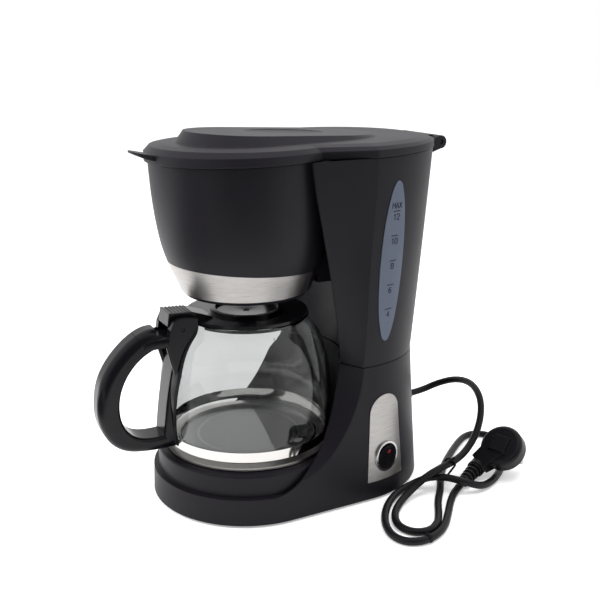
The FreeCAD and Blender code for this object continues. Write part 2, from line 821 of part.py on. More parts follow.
def lug(centre_x):
    """One hinge lug: a short neck on the tank's back edge up to a round knuckle."""
    y, z, radius = size("hinge_y"), size("hinge_z"), size("knuckle_radius")
    half = size("lug_width") / 2.0
    neck = [(156.0, z - 9.5), (y, z - 5.5), (y - 3.0, z + 2.0), (156.0, z - 1.0)]
    points = [vector(centre_x - half, *point) for point in neck]
    plate = Part.Face(Part.makePolygon(points + points[:1])).extrude(vector(2 * half, 0, 0))
    knuckle = Part.makeCylinder(radius, 2 * half, vector(centre_x - half, y, z), ALONG_X)
    return plate.fuse(knuckle)


def lug_centre():
    return size("tongue_half") + size("lug_gap") + size("lug_width") / 2.0


def upper_housing():
    bottom = size("waist_height") + size("parting_gap")
    top = size("tank_top_height")
    wall = size("wall")
    front = size("tank_front_radius")
    tank = without(upper_column(0.0, bottom, top), [disc(front, 100.0, 310.0)] + both_chamfers(UPPER_CHAMFER))
    hollow = upper_column(-wall, bottom, top)
    floor = disc(300.0, 100.0, bottom + size("tank_floor"))
    hollow = without(hollow, [disc(front + wall, 100.0, 310.0), floor] + both_chamfers(UPPER_CHAMFER, wall))
    drum = drum_solid(0.0, size("drum_base"))
    rim = size("rim_height")
    bridge = disc(front + 0.5, rim - size("bridge_depth"), top).cut(disc(70.0, 200.0, top + 10.0))
    behind = Part.makeBox(146.0, 90.0, 200.0, vector(-73.0, 31.0, 150.0))
    neck = disc(front + 0.5, 180.0, rim).cut(disc(50.0, 150.0, 300.0))
    neck = neck.common(Part.makeBox(64.0, 60.0, 200.0, vector(-32.0, 50.0, 150.0)))
    shell = tank.fuse([bridge.common(behind), neck, drum])
    lugs = [lug(sign * lug_centre()) for sign in (-1, 1)]
    shell = shell.cut(above_rim()).fuse(lugs)
    room = drum_solid(-size("drum_wall"), size("drum_base") + size("drum_floor"))
    outlet = disc(size("drum_outlet"), 150.0, 190.0)
    band = band_cone(0.2).cut(band_cone(-size("band_thickness") - 0.1))
    pin_hole = size("hinge_pin_radius") + size("hinge_fit")
    hinge = Part.makeCylinder(pin_hole, 80.0, vector(-40.0, size("hinge_y"), size("hinge_z")), ALONG_X)
    pipe_holes = [disc(7.0, 100.0, 130.0, sign * size("pipe_x"), size("pipe_y")) for sign in (-1, 1)]
    window = window_prism(size("window_gap"))
    shell = without(shell, [hollow, room, outlet, band, hinge, spout_path(7.5), window] + pipe_holes)
    return shell.removeSplitter()


def window_prism(grow):
    """The long oval tool of the water window, leaning a little towards the back as it rises."""
    half = size("window_half") + grow
    low = size("window_base") - grow
    high = size("window_top") + grow
    middle, rise = (low + high) / 2.0, (high - low) / 2.0
    reach, count = 60.0, 24
    points = []
    for index in range(count):
        turn = 2.0 * math.pi * index / count
        height = middle + rise * math.sin(turn) + size("window_lean") * math.cos(turn)
        points.append(vector(reach, half * math.cos(turn), height))
    curve = Part.BSplineCurve()
    curve.interpolate(points, PeriodicFlag=True)
    prism = Part.Face(Part.Wire(curve.toShape())).extrude(vector(40.0, 0, 0))
    prism.rotate(ORIGIN, UP, size("window_angle"))
    prism.translate(vector(0, size("column_y"), 0))
    return prism


def water_window():
    bottom = size("waist_height") + size("parting_gap")
    top = size("tank_top_height")
    outer = upper_column(size("window_proud"), bottom, top)
    return outer.cut(upper_column(-size("wall"), bottom - 1.0, top + 1.0)).common(window_prism(0.0))


def spout_path(radius):
    """A straight round tool from above the riser to the drum's middle, inside the rim."""
    start = vector(-size("pipe_x"), size("pipe_y"), size("spout_height"))
    end = vector(-6.0, 34.0, size("spout_height"))
    return Part.makeCylinder(radius, (end - start).Length, start, end - start)


def spout():
    """The elbow on the riser and the arm that carries hot water over the filter."""
    z = size("spout_height")
    start = vector(-size("pipe_x"), size("pipe_y"), z)
    end = vector(-6.0, 34.0, z)
    arm = Part.makeCylinder(size("spout_radius"), (end - start).Length, start, end - start)
    cup = disc(8.2, size("riser_top") - 8.0, z + size("spout_radius"), start.x, start.y)
    arm_bore = Part.makeCylinder(size("spout_bore"), 200.0, start, end - start)
    cup_bore = disc(size("hose_radius") + 0.1, 200.0, size("riser_top") + 0.2, start.x, start.y)
    throat = disc(size("spout_bore"), 200.0, z, start.x, start.y)
    return arm.fuse(cup).cut([arm_bore, cup_bore, throat])


def lid_plan(inset):
    """The lid's outline: front arc, waist, straight flanks and back arc."""
    front = size("lid_front_radius") - inset
    back = size("lid_back_radius") - inset
    y = size("column_y")
    waist = vector(front * math.cos(math.radians(24.0)), front * math.sin(math.radians(24.0)))
    flank = vector(back, y - 4.0)
    edges = [
        Part.Arc(vector(-waist.x, waist.y), vector(0, -front), waist).toShape(),
        Part.makeLine(waist, flank),
        Part.Arc(flank, vector(0, y + back), vector(-flank.x, flank.y)).toShape(),
        Part.makeLine(vector(-flank.x, flank.y), vector(-waist.x, waist.y)),
    ]
    return Part.Wire(edges)


def slanted(wire, height, fall):
    """A copy of a flat outline at a height over the lid's front edge, falling towards the back."""
    copy = wire.copy()
    copy.translate(vector(0, 0, height))
    copy.rotate(vector(0, -size("lid_front_radius"), height), ALONG_X, -size(fall))
    return copy


def level_at(y, height, fall):
    """The height of such a falling outline at one place along the lid."""
    return height - (y + size("lid_front_radius")) * math.tan(math.radians(size(fall)))


def panel_plan(front, tail):
    """The raised panel's teardrop outline."""
    front, tail, y = size(front), size(tail), size("panel_tail_y")
    edges = [
        Part.Arc(vector(-front, 0), vector(0, -front), vector(front, 0)).toShape(),
        Part.makeLine(vector(front, 0), vector(tail, y)),
        Part.Arc(vector(tail, y), vector(0, y + tail), vector(-tail, y)).toShape(),
        Part.makeLine(vector(-tail, y), vector(-front, 0)),
    ]
    return Part.Wire(edges)


def tilt_to_rim(shape):
    """Carry a shape drawn flat from z = 0 up onto the tilted rim."""
    shape.translate(vector(0, 0, size("rim_height") + size("lid_gap")))
    shape.rotate(vector(0, 0, size("rim_height")), ALONG_X, size("rim_tilt"))
    return shape


def lid_levels():
    rim = size("lid_rim")
    shoulder = rim + size("lid_bevel")
    crown = shoulder + size("lid_crown")
    return rim, shoulder, crown, crown + size("panel_rise")


# Side view of the lid's finger tab in the YZ plane.
TAB = ((-92.0, 290.0), (-92.4, 288.9), (-84.0, 284.9), (-76.0, 282.6), (-76.0, 286.8), (-82.0, 288.0))


def lid_tab():
    """A thin finger tab that slants up towards the front, round in plan."""
    half = size("tab_half")
    points = [vector(-half, *point) for point in TAB]
    blade = Part.Face(Part.makePolygon(points + points[:1])).extrude(vector(2 * half, 0, 0))
    return blade.common(disc(size("tab_round"), 270.0, 300.0, 0.0, TAB[1][0] + size("tab_round")))


def lid_dent(top):
    """The shallow oval dip in the raised panel."""
    stretch = FreeCAD.Matrix()
    stretch.scale(size("dent_half_width"), size("dent_half_length"), size("dent_depth"))
    dent = Part.makeSphere(1.0).transformGeometry(stretch)
    dent.rotate(ORIGIN, ALONG_X, -size("panel_fall"))
    dent.translate(vector(0, size("dent_y"), level_at(size("dent_y"), top, "panel_fall")))
    return dent


def lid_hinge(radius, half):
    return Part.makeCylinder(radius, 2 * half, vector(-half, size("hinge_y"), size("hinge_z")), ALONG_X)


def lid_form():
    """The lid's solid outside: rim, bevel, sloping crown and raised panel."""
    rim, shoulder, crown, top = lid_levels()
    inset = size("lid_bevel_inset")
    foot = panel_plan("panel_radius", "panel_tail_radius")
    roof = panel_plan("panel_top_radius", "panel_top_tail")
    edge = slanted(lid_plan(0.0), rim, "rim_fall")
    brow = slanted(lid_plan(inset), shoulder, "crown_fall")
    inner = slanted(lid_plan(size("crown_inset")), crown, "crown_fall")
    panel = [slanted(foot, crown - 1.0, "crown_fall"), slanted(roof, top, "panel_fall")]
    first, *others = [Part.makeLoft(pair, True, True)
                      for pair in ([lid_plan(0.0), edge], [edge, brow], [brow, inner], panel)]
    return first.fuse(others)


def lid_room():
    """The hollow under the lid, one wall inside its form."""
    rim, shoulder, crown, top = lid_levels()
    wall = size("lid_wall")
    inside = lid_plan(wall)
    edge = slanted(inside, rim - wall / 2.0, "rim_fall")
    brow = slanted(lid_plan(size("lid_bevel_inset") + wall), shoulder - wall, "crown_fall")
    hollow = panel_plan("panel_room_radius", "panel_room_tail")
    panel = [hollow, slanted(hollow, top - wall, "panel_fall")]
    first, *others = [Part.makeLoft(pair, True, True) for pair in ([inside, edge], [edge, brow], panel)]
    return first.fuse(others)


def lid():
    rim, shoulder, crown, top = lid_levels()
    body = tilt_to_rim(without(lid_form(), [lid_room(), lid_dent(top)])).fuse(lid_tab())
    half = size("tongue_half")
    radius = size("knuckle_radius")
    length, thickness = size("strap_length"), size("strap_thickness")
    corner = vector(-half, size("hinge_y") - length, size("hinge_z") + radius - thickness)
    strap = Part.makeBox(2 * half, length, thickness, corner)
    bore = lid_hinge(size("hinge_pin_radius") + size("hinge_fit"), 40.0)
    body = body.cut(lid_hinge(radius + 0.6, 100.0))
    return body.fuse([strap, lid_hinge(radius, half)]).cut(bore).removeSplitter()


def shower_plate():
    """The perforated plate under the lid that spreads the water, with its four hanging posts."""
    rim, shoulder, crown, top = lid_levels()
    level = 2.0
    plate = disc(size("shower_radius"), level, level + size("shower_plate"))
    holes = []
    for ring, count in ((0.4, 6), (0.7, 10), (1.0, 14)):
        for index in range(count):
            turn = 2.0 * math.pi * index / count
            radius = ring * size("shower_ring")
            x, y = radius * math.cos(turn), radius * math.sin(turn)
            holes.append(disc(size("shower_hole"), 0.0, 10.0, x, y))
    posts = []
    for index in range(4):
        turn = math.pi * (0.25 + 0.5 * index)
        x, y = size("shower_post_ring") * math.cos(turn), size("shower_post_ring") * math.sin(turn)
        radius = size("shower_post_radius")
        ceiling = level_at(y + radius, top - size("lid_wall"), "panel_fall")
        posts.append(disc(radius, level, ceiling, x, y))
    return tilt_to_rim(plate.cut(holes).fuse(posts))


# Carafe glass outer profile from the bottom bend to the mouth: (radius, height).
GLASS = ((60.0, 47.0), (66.5, 52.0), (69.8, 68.0), (71.0, 86.0), (69.8, 104.0), (65.6, 123.0),
         (58.0, 140.0), (52.6, 148.0), (51.6, 153.0))


def glass_solid(offset):
    """The carafe's outer form filled up, grown by offset."""
    base, top = size("glass_base") - offset, size("glass_top")
    curve = Part.BSplineCurve()
    curve.interpolate([vector(radius + offset, 0, height) for radius, height in GLASS])
    low = vector(GLASS[0][0] + offset, 0, GLASS[0][1])
    edges = [
        Part.makeLine(vector(0, 0, base), vector(low.x - 1.0, 0, base)),
        Part.makeLine(vector(low.x - 1.0, 0, base), low),
        curve.toShape(),
        Part.makeLine(vector(GLASS[-1][0] + offset, 0, top), vector(0, 0, top)),
        Part.makeLine(vector(0, 0, top), vector(0, 0, base)),
    ]
    return Part.Face(Part.Wire(edges)).revolve(ORIGIN, UP, 360)


def carafe_glass():
    inner = glass_solid(-size("glass_wall"))
    lifted = inner.fuse(disc(GLASS[-1][0] - size("glass_wall"), size("glass_top") - 2.0, 170.0))
    return glass_solid(0.0).cut(lifted)


def carafe_band_ring(grow):
    return disc(size("carafe_band_radius") + grow, size("carafe_band_base") - grow, size("carafe_band_top") + grow)


def carafe_band():
    """The steel band round the foot of the glass that the handle's foot sits on."""
    return carafe_band_ring(0.0).cut(glass_solid(size("carafe_band_gap")))


# Grip in the YZ plane: from the yoke round the outside to the foot.
GRIP_OUTSIDE = ((-58.0, 149.5), (-76.0, 152.0), (-85.0, 152.3), (-95.5, 148.8), (-109.0, 138.8), (-120.0, 126.0),
                (-127.0, 112.0), (-129.8, 97.0), (-129.8, 84.0), (-126.4, 71.8), (-119.3, 60.5), (-109.0, 53.5),
                (-97.5, 50.8), (-84.0, 49.8), (-66.0, 50.0))
# Finger opening: along the grip from its upper to its lower corner, then back up the post.
GRIP_INSIDE = ((-64.0, 138.0), (-72.7, 138.4), (-83.6, 136.0), (-94.6, 129.8), (-104.4, 119.3), (-110.6, 107.3),
               (-113.2, 94.0), (-112.5, 83.0), (-108.5, 73.0), (-101.0, 65.8), (-91.0, 62.8), (-78.5, 62.6))
POST_FACE = ((-78.5, 62.6), (-76.8, 78.1), (-74.1, 96.8), (-70.5, 115.1), (-64.0, 138.0))
# Saddle on the glass, going up: (half width, height).
SADDLE = ((13.0, 50.5), (14.0, 70.0), (18.0, 92.0), (20.0, 112.0), (19.0, 135.0), (17.6, 151.0))
# One cheek of the yoke in the YZ plane.
CHEEK = ((-66.0, 112.0), (-70.5, 126.0), (-74.0, 140.0), (-72.0, 152.0), (-69.0, 158.5), (-65.0, 160.3), (-58.0, 160.8),
         (-49.0, 159.5), (-49.0, 137.0))


def side_curve(points):
    curve = Part.BSplineCurve()
    curve.interpolate([vector(-size("handle_width") / 2.0, y, z) for y, z in points])
    return curve.toShape()


def grip():
    """The rounded grip with its finger opening."""
    width = size("handle_width")
    start = vector(-width / 2.0, *GRIP_OUTSIDE[0])
    end = vector(-width / 2.0, *GRIP_OUTSIDE[-1])
    outside = Part.Wire([side_curve(GRIP_OUTSIDE), Part.makeLine(end, start)])
    solid = Part.Face(outside).extrude(vector(width, 0, 0))
    curved = [edge for edge in solid.Edges if isinstance(edge.Curve, Part.BSplineCurve)]
    solid = solid.makeFillet(size("handle_round"), curved)
    inside = Part.Wire([side_curve(GRIP_INSIDE), side_curve(POST_FACE)])
    solid = solid.cut(Part.Face(inside).extrude(vector(width, 0, 0)))
    corner = POST_FACE[0]
    rims = [edge for edge in solid.Edges if abs(abs(edge.CenterOfMass.x) - width / 2.0) < 0.01
            and any(math.hypot(point.Y - corner[0], point.Z - corner[1]) < 0.01 for point in edge.Vertexes)]
    return solid.makeFillet(size("finger_round"), rims)


def saddle():
    """The thin plate that hugs the glass behind the grip."""
    shell = glass_solid(size("saddle_outside"))
    outline = [vector(half, -100.0, z) for half, z in SADDLE]
    outline += [vector(-half, -100.0, z) for half, z in reversed(SADDLE)]
    return shell.common(Part.Face(Part.makePolygon(outline + outline[:1])).extrude(vector(0, 100.0, 0)))


def yoke_half():
    return size("lever_width") / 2.0 + size("yoke_gap")


def cheek():
    """The right cheek of the yoke that the lever's pin runs in."""
    points = [vector(yoke_half(), *point) for point in CHEEK]
    return Part.Face(Part.makePolygon(points + points[:1])).extrude(vector(size("cheek_width"), 0, 0))


def carafe_handle():
    pocket = Part.makeBox(2 * yoke_half(), 40.0, 30.0, vector(-yoke_half(), size("pocket_back"), size("pocket_floor")))
    solid = grip().fuse(saddle()).cut(pocket).fuse([cheek(), mirrored(cheek())])
    bore = lever_axle(size("lever_pin_radius") + 0.01, 60.0)
    band = carafe_band_ring(size("carafe_band_gap"))
    return without(solid, [glass_solid(size("glass_clearance")), mouth_room(), bore, band]).removeSplitter()


def mouth_room():
    """The space above the glass that the carafe's lid moves in."""
    return disc(size("carafe_lid_radius") + size("yoke_gap"), size("glass_top"), 200.0)


def lever_axle(radius, length):
    start = vector(-length / 2.0, size("lever_pin_y"), size("lever_pin_z"))
    return Part.makeCylinder(radius, length, start, ALONG_X)


def carafe_lid():
    """The lid over the carafe's mouth with its drip hole, inner skirt and the lever's arm."""
    base, edge, top = size("carafe_lid_base"), size("carafe_lid_edge"), size("carafe_lid_ring_top")
    plate = disc(size("carafe_lid_radius"), base, edge)
    ring = disc(size("carafe_lid_ring"), edge - 0.5, top).cut(disc(size("carafe_lid_ring") - 4.0, base, top + 1))
    outside, depth = size("carafe_lid_skirt"), size("carafe_lid_skirt_depth")
    skirt = disc(outside, base - depth, base + 0.5)
    skirt = skirt.cut(disc(outside - size("carafe_lid_skirt_wall"), base - depth - 1.0, base + 1.0))
    skirt = skirt.cut(Part.makeBox(36.0, 20.0, 10.0, vector(-18.0, -55.0, base - 8.0)))
    width = size("lever_width")
    arm = Part.makeBox(width, size("arm_length"), size("arm_thickness"),
                       vector(-width / 2.0, size("arm_front"), base))
    eye = lever_axle(4.0, width)
    lid_shape = plate.fuse([ring, skirt, arm, eye])
    dish = Part.makeCone(size("carafe_lid_hole"), size("carafe_lid_dish"), size("carafe_lid_dish_depth"),
                         vector(0, 0, edge - size("carafe_lid_dish_depth")))
    bore = lever_axle(size("lever_pin_radius") + size("lever_fit"), 60.0)
    hole = disc(size("carafe_lid_hole"), 100.0, 200.0)
    return without(lid_shape, [dish, hole, bore]).removeSplitter()


# Side view of the thumb lever in the YZ plane: block, slanting tongue and its tip on the lid.
LEVER = ((-66.2, 158.4), (-66.2, 153.8), (-72.0, 153.6), (-70.5, 164.3), (-52.0, 163.5), (-34.0, 157.2),
         (-34.0, 156.25), (-39.9, 156.25), (-39.9, 158.4))


def thumb_lever():
    """The ribbed thumb block on the arm, with a tongue down onto the lid."""
    half = size("lever_width") / 2.0
    points = [vector(-half, *point) for point in LEVER]
    block = Part.Face(Part.makePolygon(points + points[:1])).extrude(vector(2 * half, 0, 0))
    first, last = vector(0, *LEVER[3]), vector(0, *LEVER[4])
    along = (last - first).normalize()
    grooves = []
    for index in range(1, 7):
        place = first + along * (size("lever_groove_pitch") * index) - vector(half + 1.0, 0, 0)
        grooves.append(Part.makeCylinder(size("lever_groove"), 2 * half + 2.0, place, ALONG_X))
    return without(block, grooves)


def cover_plate():
    bottom = size("shell_base")
    wire = stadium(size("cover_front_radius"), size("cover_back_radius"), bottom)
    plate = Part.Face(wire).extrude(vector(0, 0, size("plate_cover_thickness")))
    holes = [disc(size("screw_hole"), 0.0, 10.0, x, y)
             for x, y in corners_of("screw_x", "screw_front_y", "screw_back_y")]
    vents = []
    for index in range(7):
        vents.append(Part.makeBox(44.0, 3.0, 10.0, vector(-22.0, -18.0 + 9.0 * index, 0.0)))
    return plate.cut(holes + vents)


def base_screws():
    screws = []
    for x, y in corners_of("screw_x", "screw_front_y", "screw_back_y"):
        head = disc(size("screw_head"), 0.6, size("shell_base"), x, y)
        screws.append(head.fuse(disc(size("screw_radius"), 1.0, 1.0 + size("screw_length"), x, y)))
    return Part.makeCompound(screws)


def bent_pipe(points, radius, bore, bend):
    """A pipe of straight runs in the plane x = const joined by one bend."""
    first, corner, last = points
    before = (first - corner).normalize()
    after = (last - corner).normalize()
    start, end = corner + before * bend, corner + after * bend
    middle = corner + (before + after) * (bend * (1.0 - math.sqrt(0.5)))
    edges = [Part.makeLine(first, start), Part.Arc(start, middle, end).toShape(), Part.makeLine(end, last)]
    path = Part.Wire(edges)
    ring = []
    for size_mm in (radius, bore):
        circle = Part.Wire(Part.makeCircle(size_mm, first, before))
        ring.append(path.makePipeShell([circle], True, False))
    return ring[0].cut(ring[1])


def pipe_points(side, height):
    x, y, low = side * size("pipe_x"), size("pipe_y"), size("element_height")
    return vector(x, size("hose_lap_y"), low), vector(x, y, low), vector(x, y, height)


def inlet_hose():
    return bent_pipe(pipe_points(1, size("valve_base") + 9.0), size("hose_radius"), size("hose_bore"), 14.0)


def riser_pipe():
    return bent_pipe(pipe_points(-1, size("riser_top")), size("hose_radius"), size("hose_bore"), 14.0)


def check_valve():
    """The valve under the tank's outlet: a cage for the ball and a spigot for the hose."""
    x, y = size("pipe_x"), size("pipe_y")
    base, top = size("valve_base"), size("valve_top")
    body = disc(size("valve_radius"), base + 9.2, top, x, y).fuse(disc(size("valve_neck"), base, base + 10, x, y))
    seat = top - 3.0
    cavity = disc(size("valve_bore"), base + 11.5, seat, x, y)
    ports = disc(2.8, base - 1.0, base + 12.0, x, y).fuse(disc(2.8, seat - 1.0, top + 1.0, x, y))
    return body.cut([cavity, ports])


def heating_element():
    """A horseshoe of tube under the plate, open to the back, with two straight ends."""
    ring, tube, z = size("element_ring"), size("element_radius"), size("element_height")
    opening = math.degrees(math.asin(size("pipe_x") / ring))
    torus = Part.makeTorus(ring, tube, vector(0, 0, z), UP, 0, 360, 360 - 2 * opening)
    torus.rotate(ORIGIN, UP, 90 + opening)
    end_y = ring * math.cos(math.radians(opening))
    pieces = []
    for sign in (-1, 1):
        length = size("element_end_y") - end_y
        pieces.append(Part.makeCylinder(tube, length, vector(sign * size("pipe_x"), end_y, z), vector(0, 1, 0)))
        pieces.append(Part.makeSphere(tube, vector(sign * size("pipe_x"), end_y, z)))
    return torus.fuse(pieces)


def element_clamp():
    """A pressed bar under the horseshoe with one post up to the heat spreader."""
    length = 2 * (size("element_ring") + size("element_radius")) + 6.0
    top = size("element_height") - size("element_radius") - 0.1
    width = size("clamp_width")
    bar = Part.makeBox(length, width, size("clamp_thickness"),
                       vector(-length / 2.0, -width / 2.0, top - size("clamp_thickness")))
    post = disc(4.0, top - 1.0, size("spreader_base"))
    return bar.fuse(post)


def thermal_fuse():
    start = vector(-11.0, 20.0, size("spreader_base") - size("fuse_radius") - 0.1)
    return Part.makeCylinder(size("fuse_radius"), size("fuse_length"), start, ALONG_X)


def terminal_block():
    """A three-way block on the base plate."""
    base = size("shell_base") + size("plate_cover_thickness")
    block = Part.makeBox(30.0, 16.0, 12.0, vector(-15.0, 122.0, base))
    bores = [Part.makeCylinder(2.0, 20.0, vector(x, 120.0, base + 5.0), vector(0, 1, 0)) for x in (-9.0, 0.0, 9.0)]
    heads = [disc(2.2, base + 9.0, base + 20.0, x, 130.0) for x in (-9.0, 0.0, 9.0)]
    return block.cut(bores + heads)


def build_turned_pieces():
    keep(turned("warming_plate", [
        (None, "plate_base"), ("plate_spigot_inner", "plate_base"), ("plate_spigot_inner", "plate_spigot_base"),
        ("plate_spigot", "plate_spigot_base"), ("plate_spigot", "plate_base"), ("plate_radius", "plate_base"),
        ("plate_radius", "plate_top"), (None, "plate_top")]), "warming_plate")
    keep(turned("plate_gasket", [
        ("gasket_inner", "deck_top"), ("gasket_outer", "deck_top"),
        ("gasket_outer", "plate_base"), ("gasket_inner", "plate_base")]), "plate_gasket")
    keep(turned("heat_spreader", [
        (None, "spreader_base"), ("spreader_radius", "spreader_base"),
        ("spreader_radius", "plate_base"), (None, "plate_base")]), "heat_spreader")


def build_round_pieces():
    places = {"front_left": (-1, "foot_front_y"), "front_right": (1, "foot_front_y"),
              "back_left": (-1, "foot_back_y"), "back_right": (1, "foot_back_y")}
    for name, (side, y) in places.items():
        foot = cylinder("foot_" + name, "dims.foot_radius", "dims.shell_base", f"{side} * dims.foot_x")
        foot.Placement.Base.y = size(y)
        keep(foot, "foot_" + name)
    ball = document.addObject("Part::Sphere", "check_ball")
    bind(ball, Radius="dims.ball_radius", Placement__Base__z="dims.ball_height")
    ball.Placement.Base = vector(size("pipe_x"), size("pipe_y"), 0.0)
    keep(ball, "check_ball")
    thermostat = cylinder("thermostat", "dims.thermostat_radius", "dims.thermostat_height",
                          z="dims.spreader_base - dims.thermostat_height")
    thermostat.Placement.Base.y = -26.0
    keep(thermostat, "thermostat")
    half = "(dims.tongue_half + dims.lug_gap + dims.lug_width - dims.hinge_pin_recess)"
    hinge_pin = cylinder("lid_hinge_pin", "dims.hinge_pin_radius", "2 * " + half, "-" + half, "0", "dims.hinge_z")
    hinge_pin.Placement = FreeCAD.Placement(
        vector(0, size("hinge_y"), 0), FreeCAD.Rotation(vector(0, 1, 0), 90))
    keep(hinge_pin, "lid_hinge_pin")
    span = "(dims.lever_width / 2 + dims.yoke_gap + dims.cheek_width - 0.6)"
    lever_pin = cylinder("lever_pin", "dims.lever_pin_radius", "2 * " + span, "-" + span, "0", "dims.lever_pin_z")
    lever_pin.Placement = FreeCAD.Placement(
        vector(0, size("lever_pin_y"), 0), FreeCAD.Rotation(vector(0, 1, 0), 90))
    keep(lever_pin, "lever_pin")


def check_document():
    for thing in document.Objects:
        if "Invalid" in thing.State or "Error" in thing.State:
            raise RuntimeError(f"{thing.Label} failed: {thing.State}")
    for node in nodes:
        if node.Shape.isNull() or not node.Shape.isValid():
            raise RuntimeError(f"{node.Label} has no valid shape")


def filter_pieces():
    base = size("basket_base")
    wall = size("basket_wall")
    rim = size("basket_rim")
    outer = Part.makeCone(size("basket_foot_radius"), size("basket_rim_radius"), rim - base, vector(0, 0, base))
    inner = Part.makeCone(size("basket_foot_radius") - wall, size("basket_rim_radius") - wall, rim - base,
                          vector(0, 0, base + wall))
    nozzle = disc(size("nozzle_radius"), size("nozzle_base"), base + 0.5)
    bore = disc(size("nozzle_bore"), 150.0, base + 10.0)
    flange = disc(size("basket_rim_radius") + 1.5, rim - 2.0, rim).cut(disc(size("basket_rim_radius") - wall, 0, 300))
    shaped("filter_basket", outer.cut(inner).fuse([nozzle, flange]).cut(bore))
    foot, top = size("mesh_foot"), size("mesh_rim")
    thin = size("mesh_wall")
    cone = Part.makeCone(size("mesh_foot_radius"), size("mesh_rim_radius"), top - foot, vector(0, 0, foot))
    hollow = Part.makeCone(size("mesh_foot_radius") - thin, size("mesh_rim_radius") - thin, top - foot,
                           vector(0, 0, foot + thin))
    ring = disc(size("mesh_rim_radius") + 0.3, top - 2.0, top + 2.0).cut(disc(size("mesh_rim_radius") - 2.0, 0, 300))
    shaped("mesh_filter", cone.cut(hollow).fuse(ring))
    floor = base + wall
    seat = floor + size("seal_thickness")
    shaped("drip_seal", disc(size("drip_head_radius") + 0.5, floor + 0.1, seat).cut(disc(3.5, 0, 300)))
    pin = disc(size("drip_pin_radius"), size("drip_pin_base"), seat + 0.5)
    shaped("drip_pin", pin.fuse(disc(size("drip_head_radius"), seat, seat + size("drip_head"))))


def build_shells():
    shaped("lower_housing", lower_housing())
    shaped("upper_housing", upper_housing())
    shaped("drum_band", band_cone(0.0).cut(band_cone(-size("band_thickness"))))
    shaped("switch_plate", switch_plate())
    shaped("switch_bezel", switch_bezel())
    shaped("switch_rocker", switch_rocker())
    shaped("switch_body", switch_body())
    shaped("rocker_pin", rocker_axle(size("rocker_pin_radius"), 19.6))
    shaped("water_window", water_window())
    shaped("lid", lid())
    shaped("shower_plate", shower_plate())
    shaped("spout", spout())
    shaped("base_plate", cover_plate())
    shaped("base_screws", base_screws())


def build_inside():
    shaped("inlet_hose", inlet_hose())
    shaped("riser_pipe", riser_pipe())
    shaped("check_valve", check_valve())
    shaped("heating_element", heating_element())
    shaped("element_clamp", element_clamp())
    shaped("thermal_fuse", thermal_fuse())
    shaped("terminal_block", terminal_block())
    shaped("cord_gland", cord_gland())
    shaped("mains_cord", mains_cord())
    shaped("cord_tie", cord_tie())
    shaped("plug_relief", plug_relief())
    shaped("plug_body", plug_body())
    shaped("plug_pins", plug_pins())
    filter_pieces()


def build_carafe():
    shaped("carafe_glass", carafe_glass())
    shaped("carafe_band", carafe_band())
    shaped("carafe_handle", carafe_handle())
    shaped("carafe_lid", carafe_lid())
    shaped("thumb_lever", thumb_lever())


def main():
    build_turned_pieces()
    build_round_pieces()
    build_shells()
    build_inside()
    build_carafe()
    document.recompute()
    check_document()
    os.makedirs("parts", exist_ok=True)
    for node in nodes:
        node.Shape.exportStep(f"parts/{node.Label}.step")
        box = node.Shape.BoundBox
        print(f"{node.Label}: {len(node.Shape.Solids)} solids, {node.Shape.Volume / 1000.0:.2f} cm3,"
              f" z {box.ZMin:.1f} to {box.ZMax:.1f}")


main()
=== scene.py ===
import math

import bmesh
import bpy
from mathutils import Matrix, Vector


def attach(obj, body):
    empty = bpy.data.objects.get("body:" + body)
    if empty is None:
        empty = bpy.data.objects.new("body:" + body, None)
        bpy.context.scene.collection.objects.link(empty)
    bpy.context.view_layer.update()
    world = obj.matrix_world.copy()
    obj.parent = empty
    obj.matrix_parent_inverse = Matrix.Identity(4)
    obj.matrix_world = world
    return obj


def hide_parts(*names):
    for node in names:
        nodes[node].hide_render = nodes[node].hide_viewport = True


# Drip coffee maker. Places are in millimetres about the carafe's axis, and spot() puts them in the frame.
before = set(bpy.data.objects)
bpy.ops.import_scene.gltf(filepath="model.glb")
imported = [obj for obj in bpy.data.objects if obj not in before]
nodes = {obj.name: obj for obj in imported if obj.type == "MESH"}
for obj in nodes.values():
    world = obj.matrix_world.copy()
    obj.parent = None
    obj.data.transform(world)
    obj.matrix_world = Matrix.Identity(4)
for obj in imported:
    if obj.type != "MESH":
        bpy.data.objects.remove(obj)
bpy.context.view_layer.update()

MM = 0.001
CARAFE_AXIS_Y = -22.0
COLUMN_Y = 75.0
RIGHTWARD = Vector((1.0, 0.0, 0.0))
UPWARD = Vector((0.0, 0.0, 1.0))
BOTH_SIDES = (1.0, -1.0)


def spot(x, y, z):
    """A point given in millimetres about the carafe's axis, in the frame's metres."""
    return Vector((x, y + CARAFE_AXIS_Y, z)) * MM


def round_turns(steps):
    """The angles of evenly spaced points once round."""
    return [2.0 * math.pi * index / steps for index in range(steps)]


# Materials

# Indices of refraction of the plastics and the glass.
ABS_IOR = 1.53
GLASS_IOR = 1.47
POLYCARBONATE_IOR = 1.58
# Moulded plastic: how far wear takes its roughness down and up, how strongly its grain shows, and the
# rays that round its edges.
WEAR_SMOOTHS, WEAR_ROUGHENS = 0.04, 0.05
GRAIN_STRENGTH = 0.35
EDGE_SAMPLES = 4
# Brushed steel: length of a scratch, how many times longer than high it is, and its depth.
SCRATCH_LENGTH_MM = 14.0
SCRATCH_STRETCH = 40.0
SCRATCH_DEPTH_MM = 0.02
# Plain metal: the shares of its roughness where it is brightest and dullest.
BRIGHT_SHARE, DULL_SHARE = 0.8, 1.25
# Warming plate: height of its top, radius at which its bare rim begins, and the specks in its coat.
PLATE_TOP_MM = 46.0
PLATE_RIM_MM = 58.5
PLATE_RIM_BLUR_MM = 0.5
PLATE_SPECK_MM = 3.0
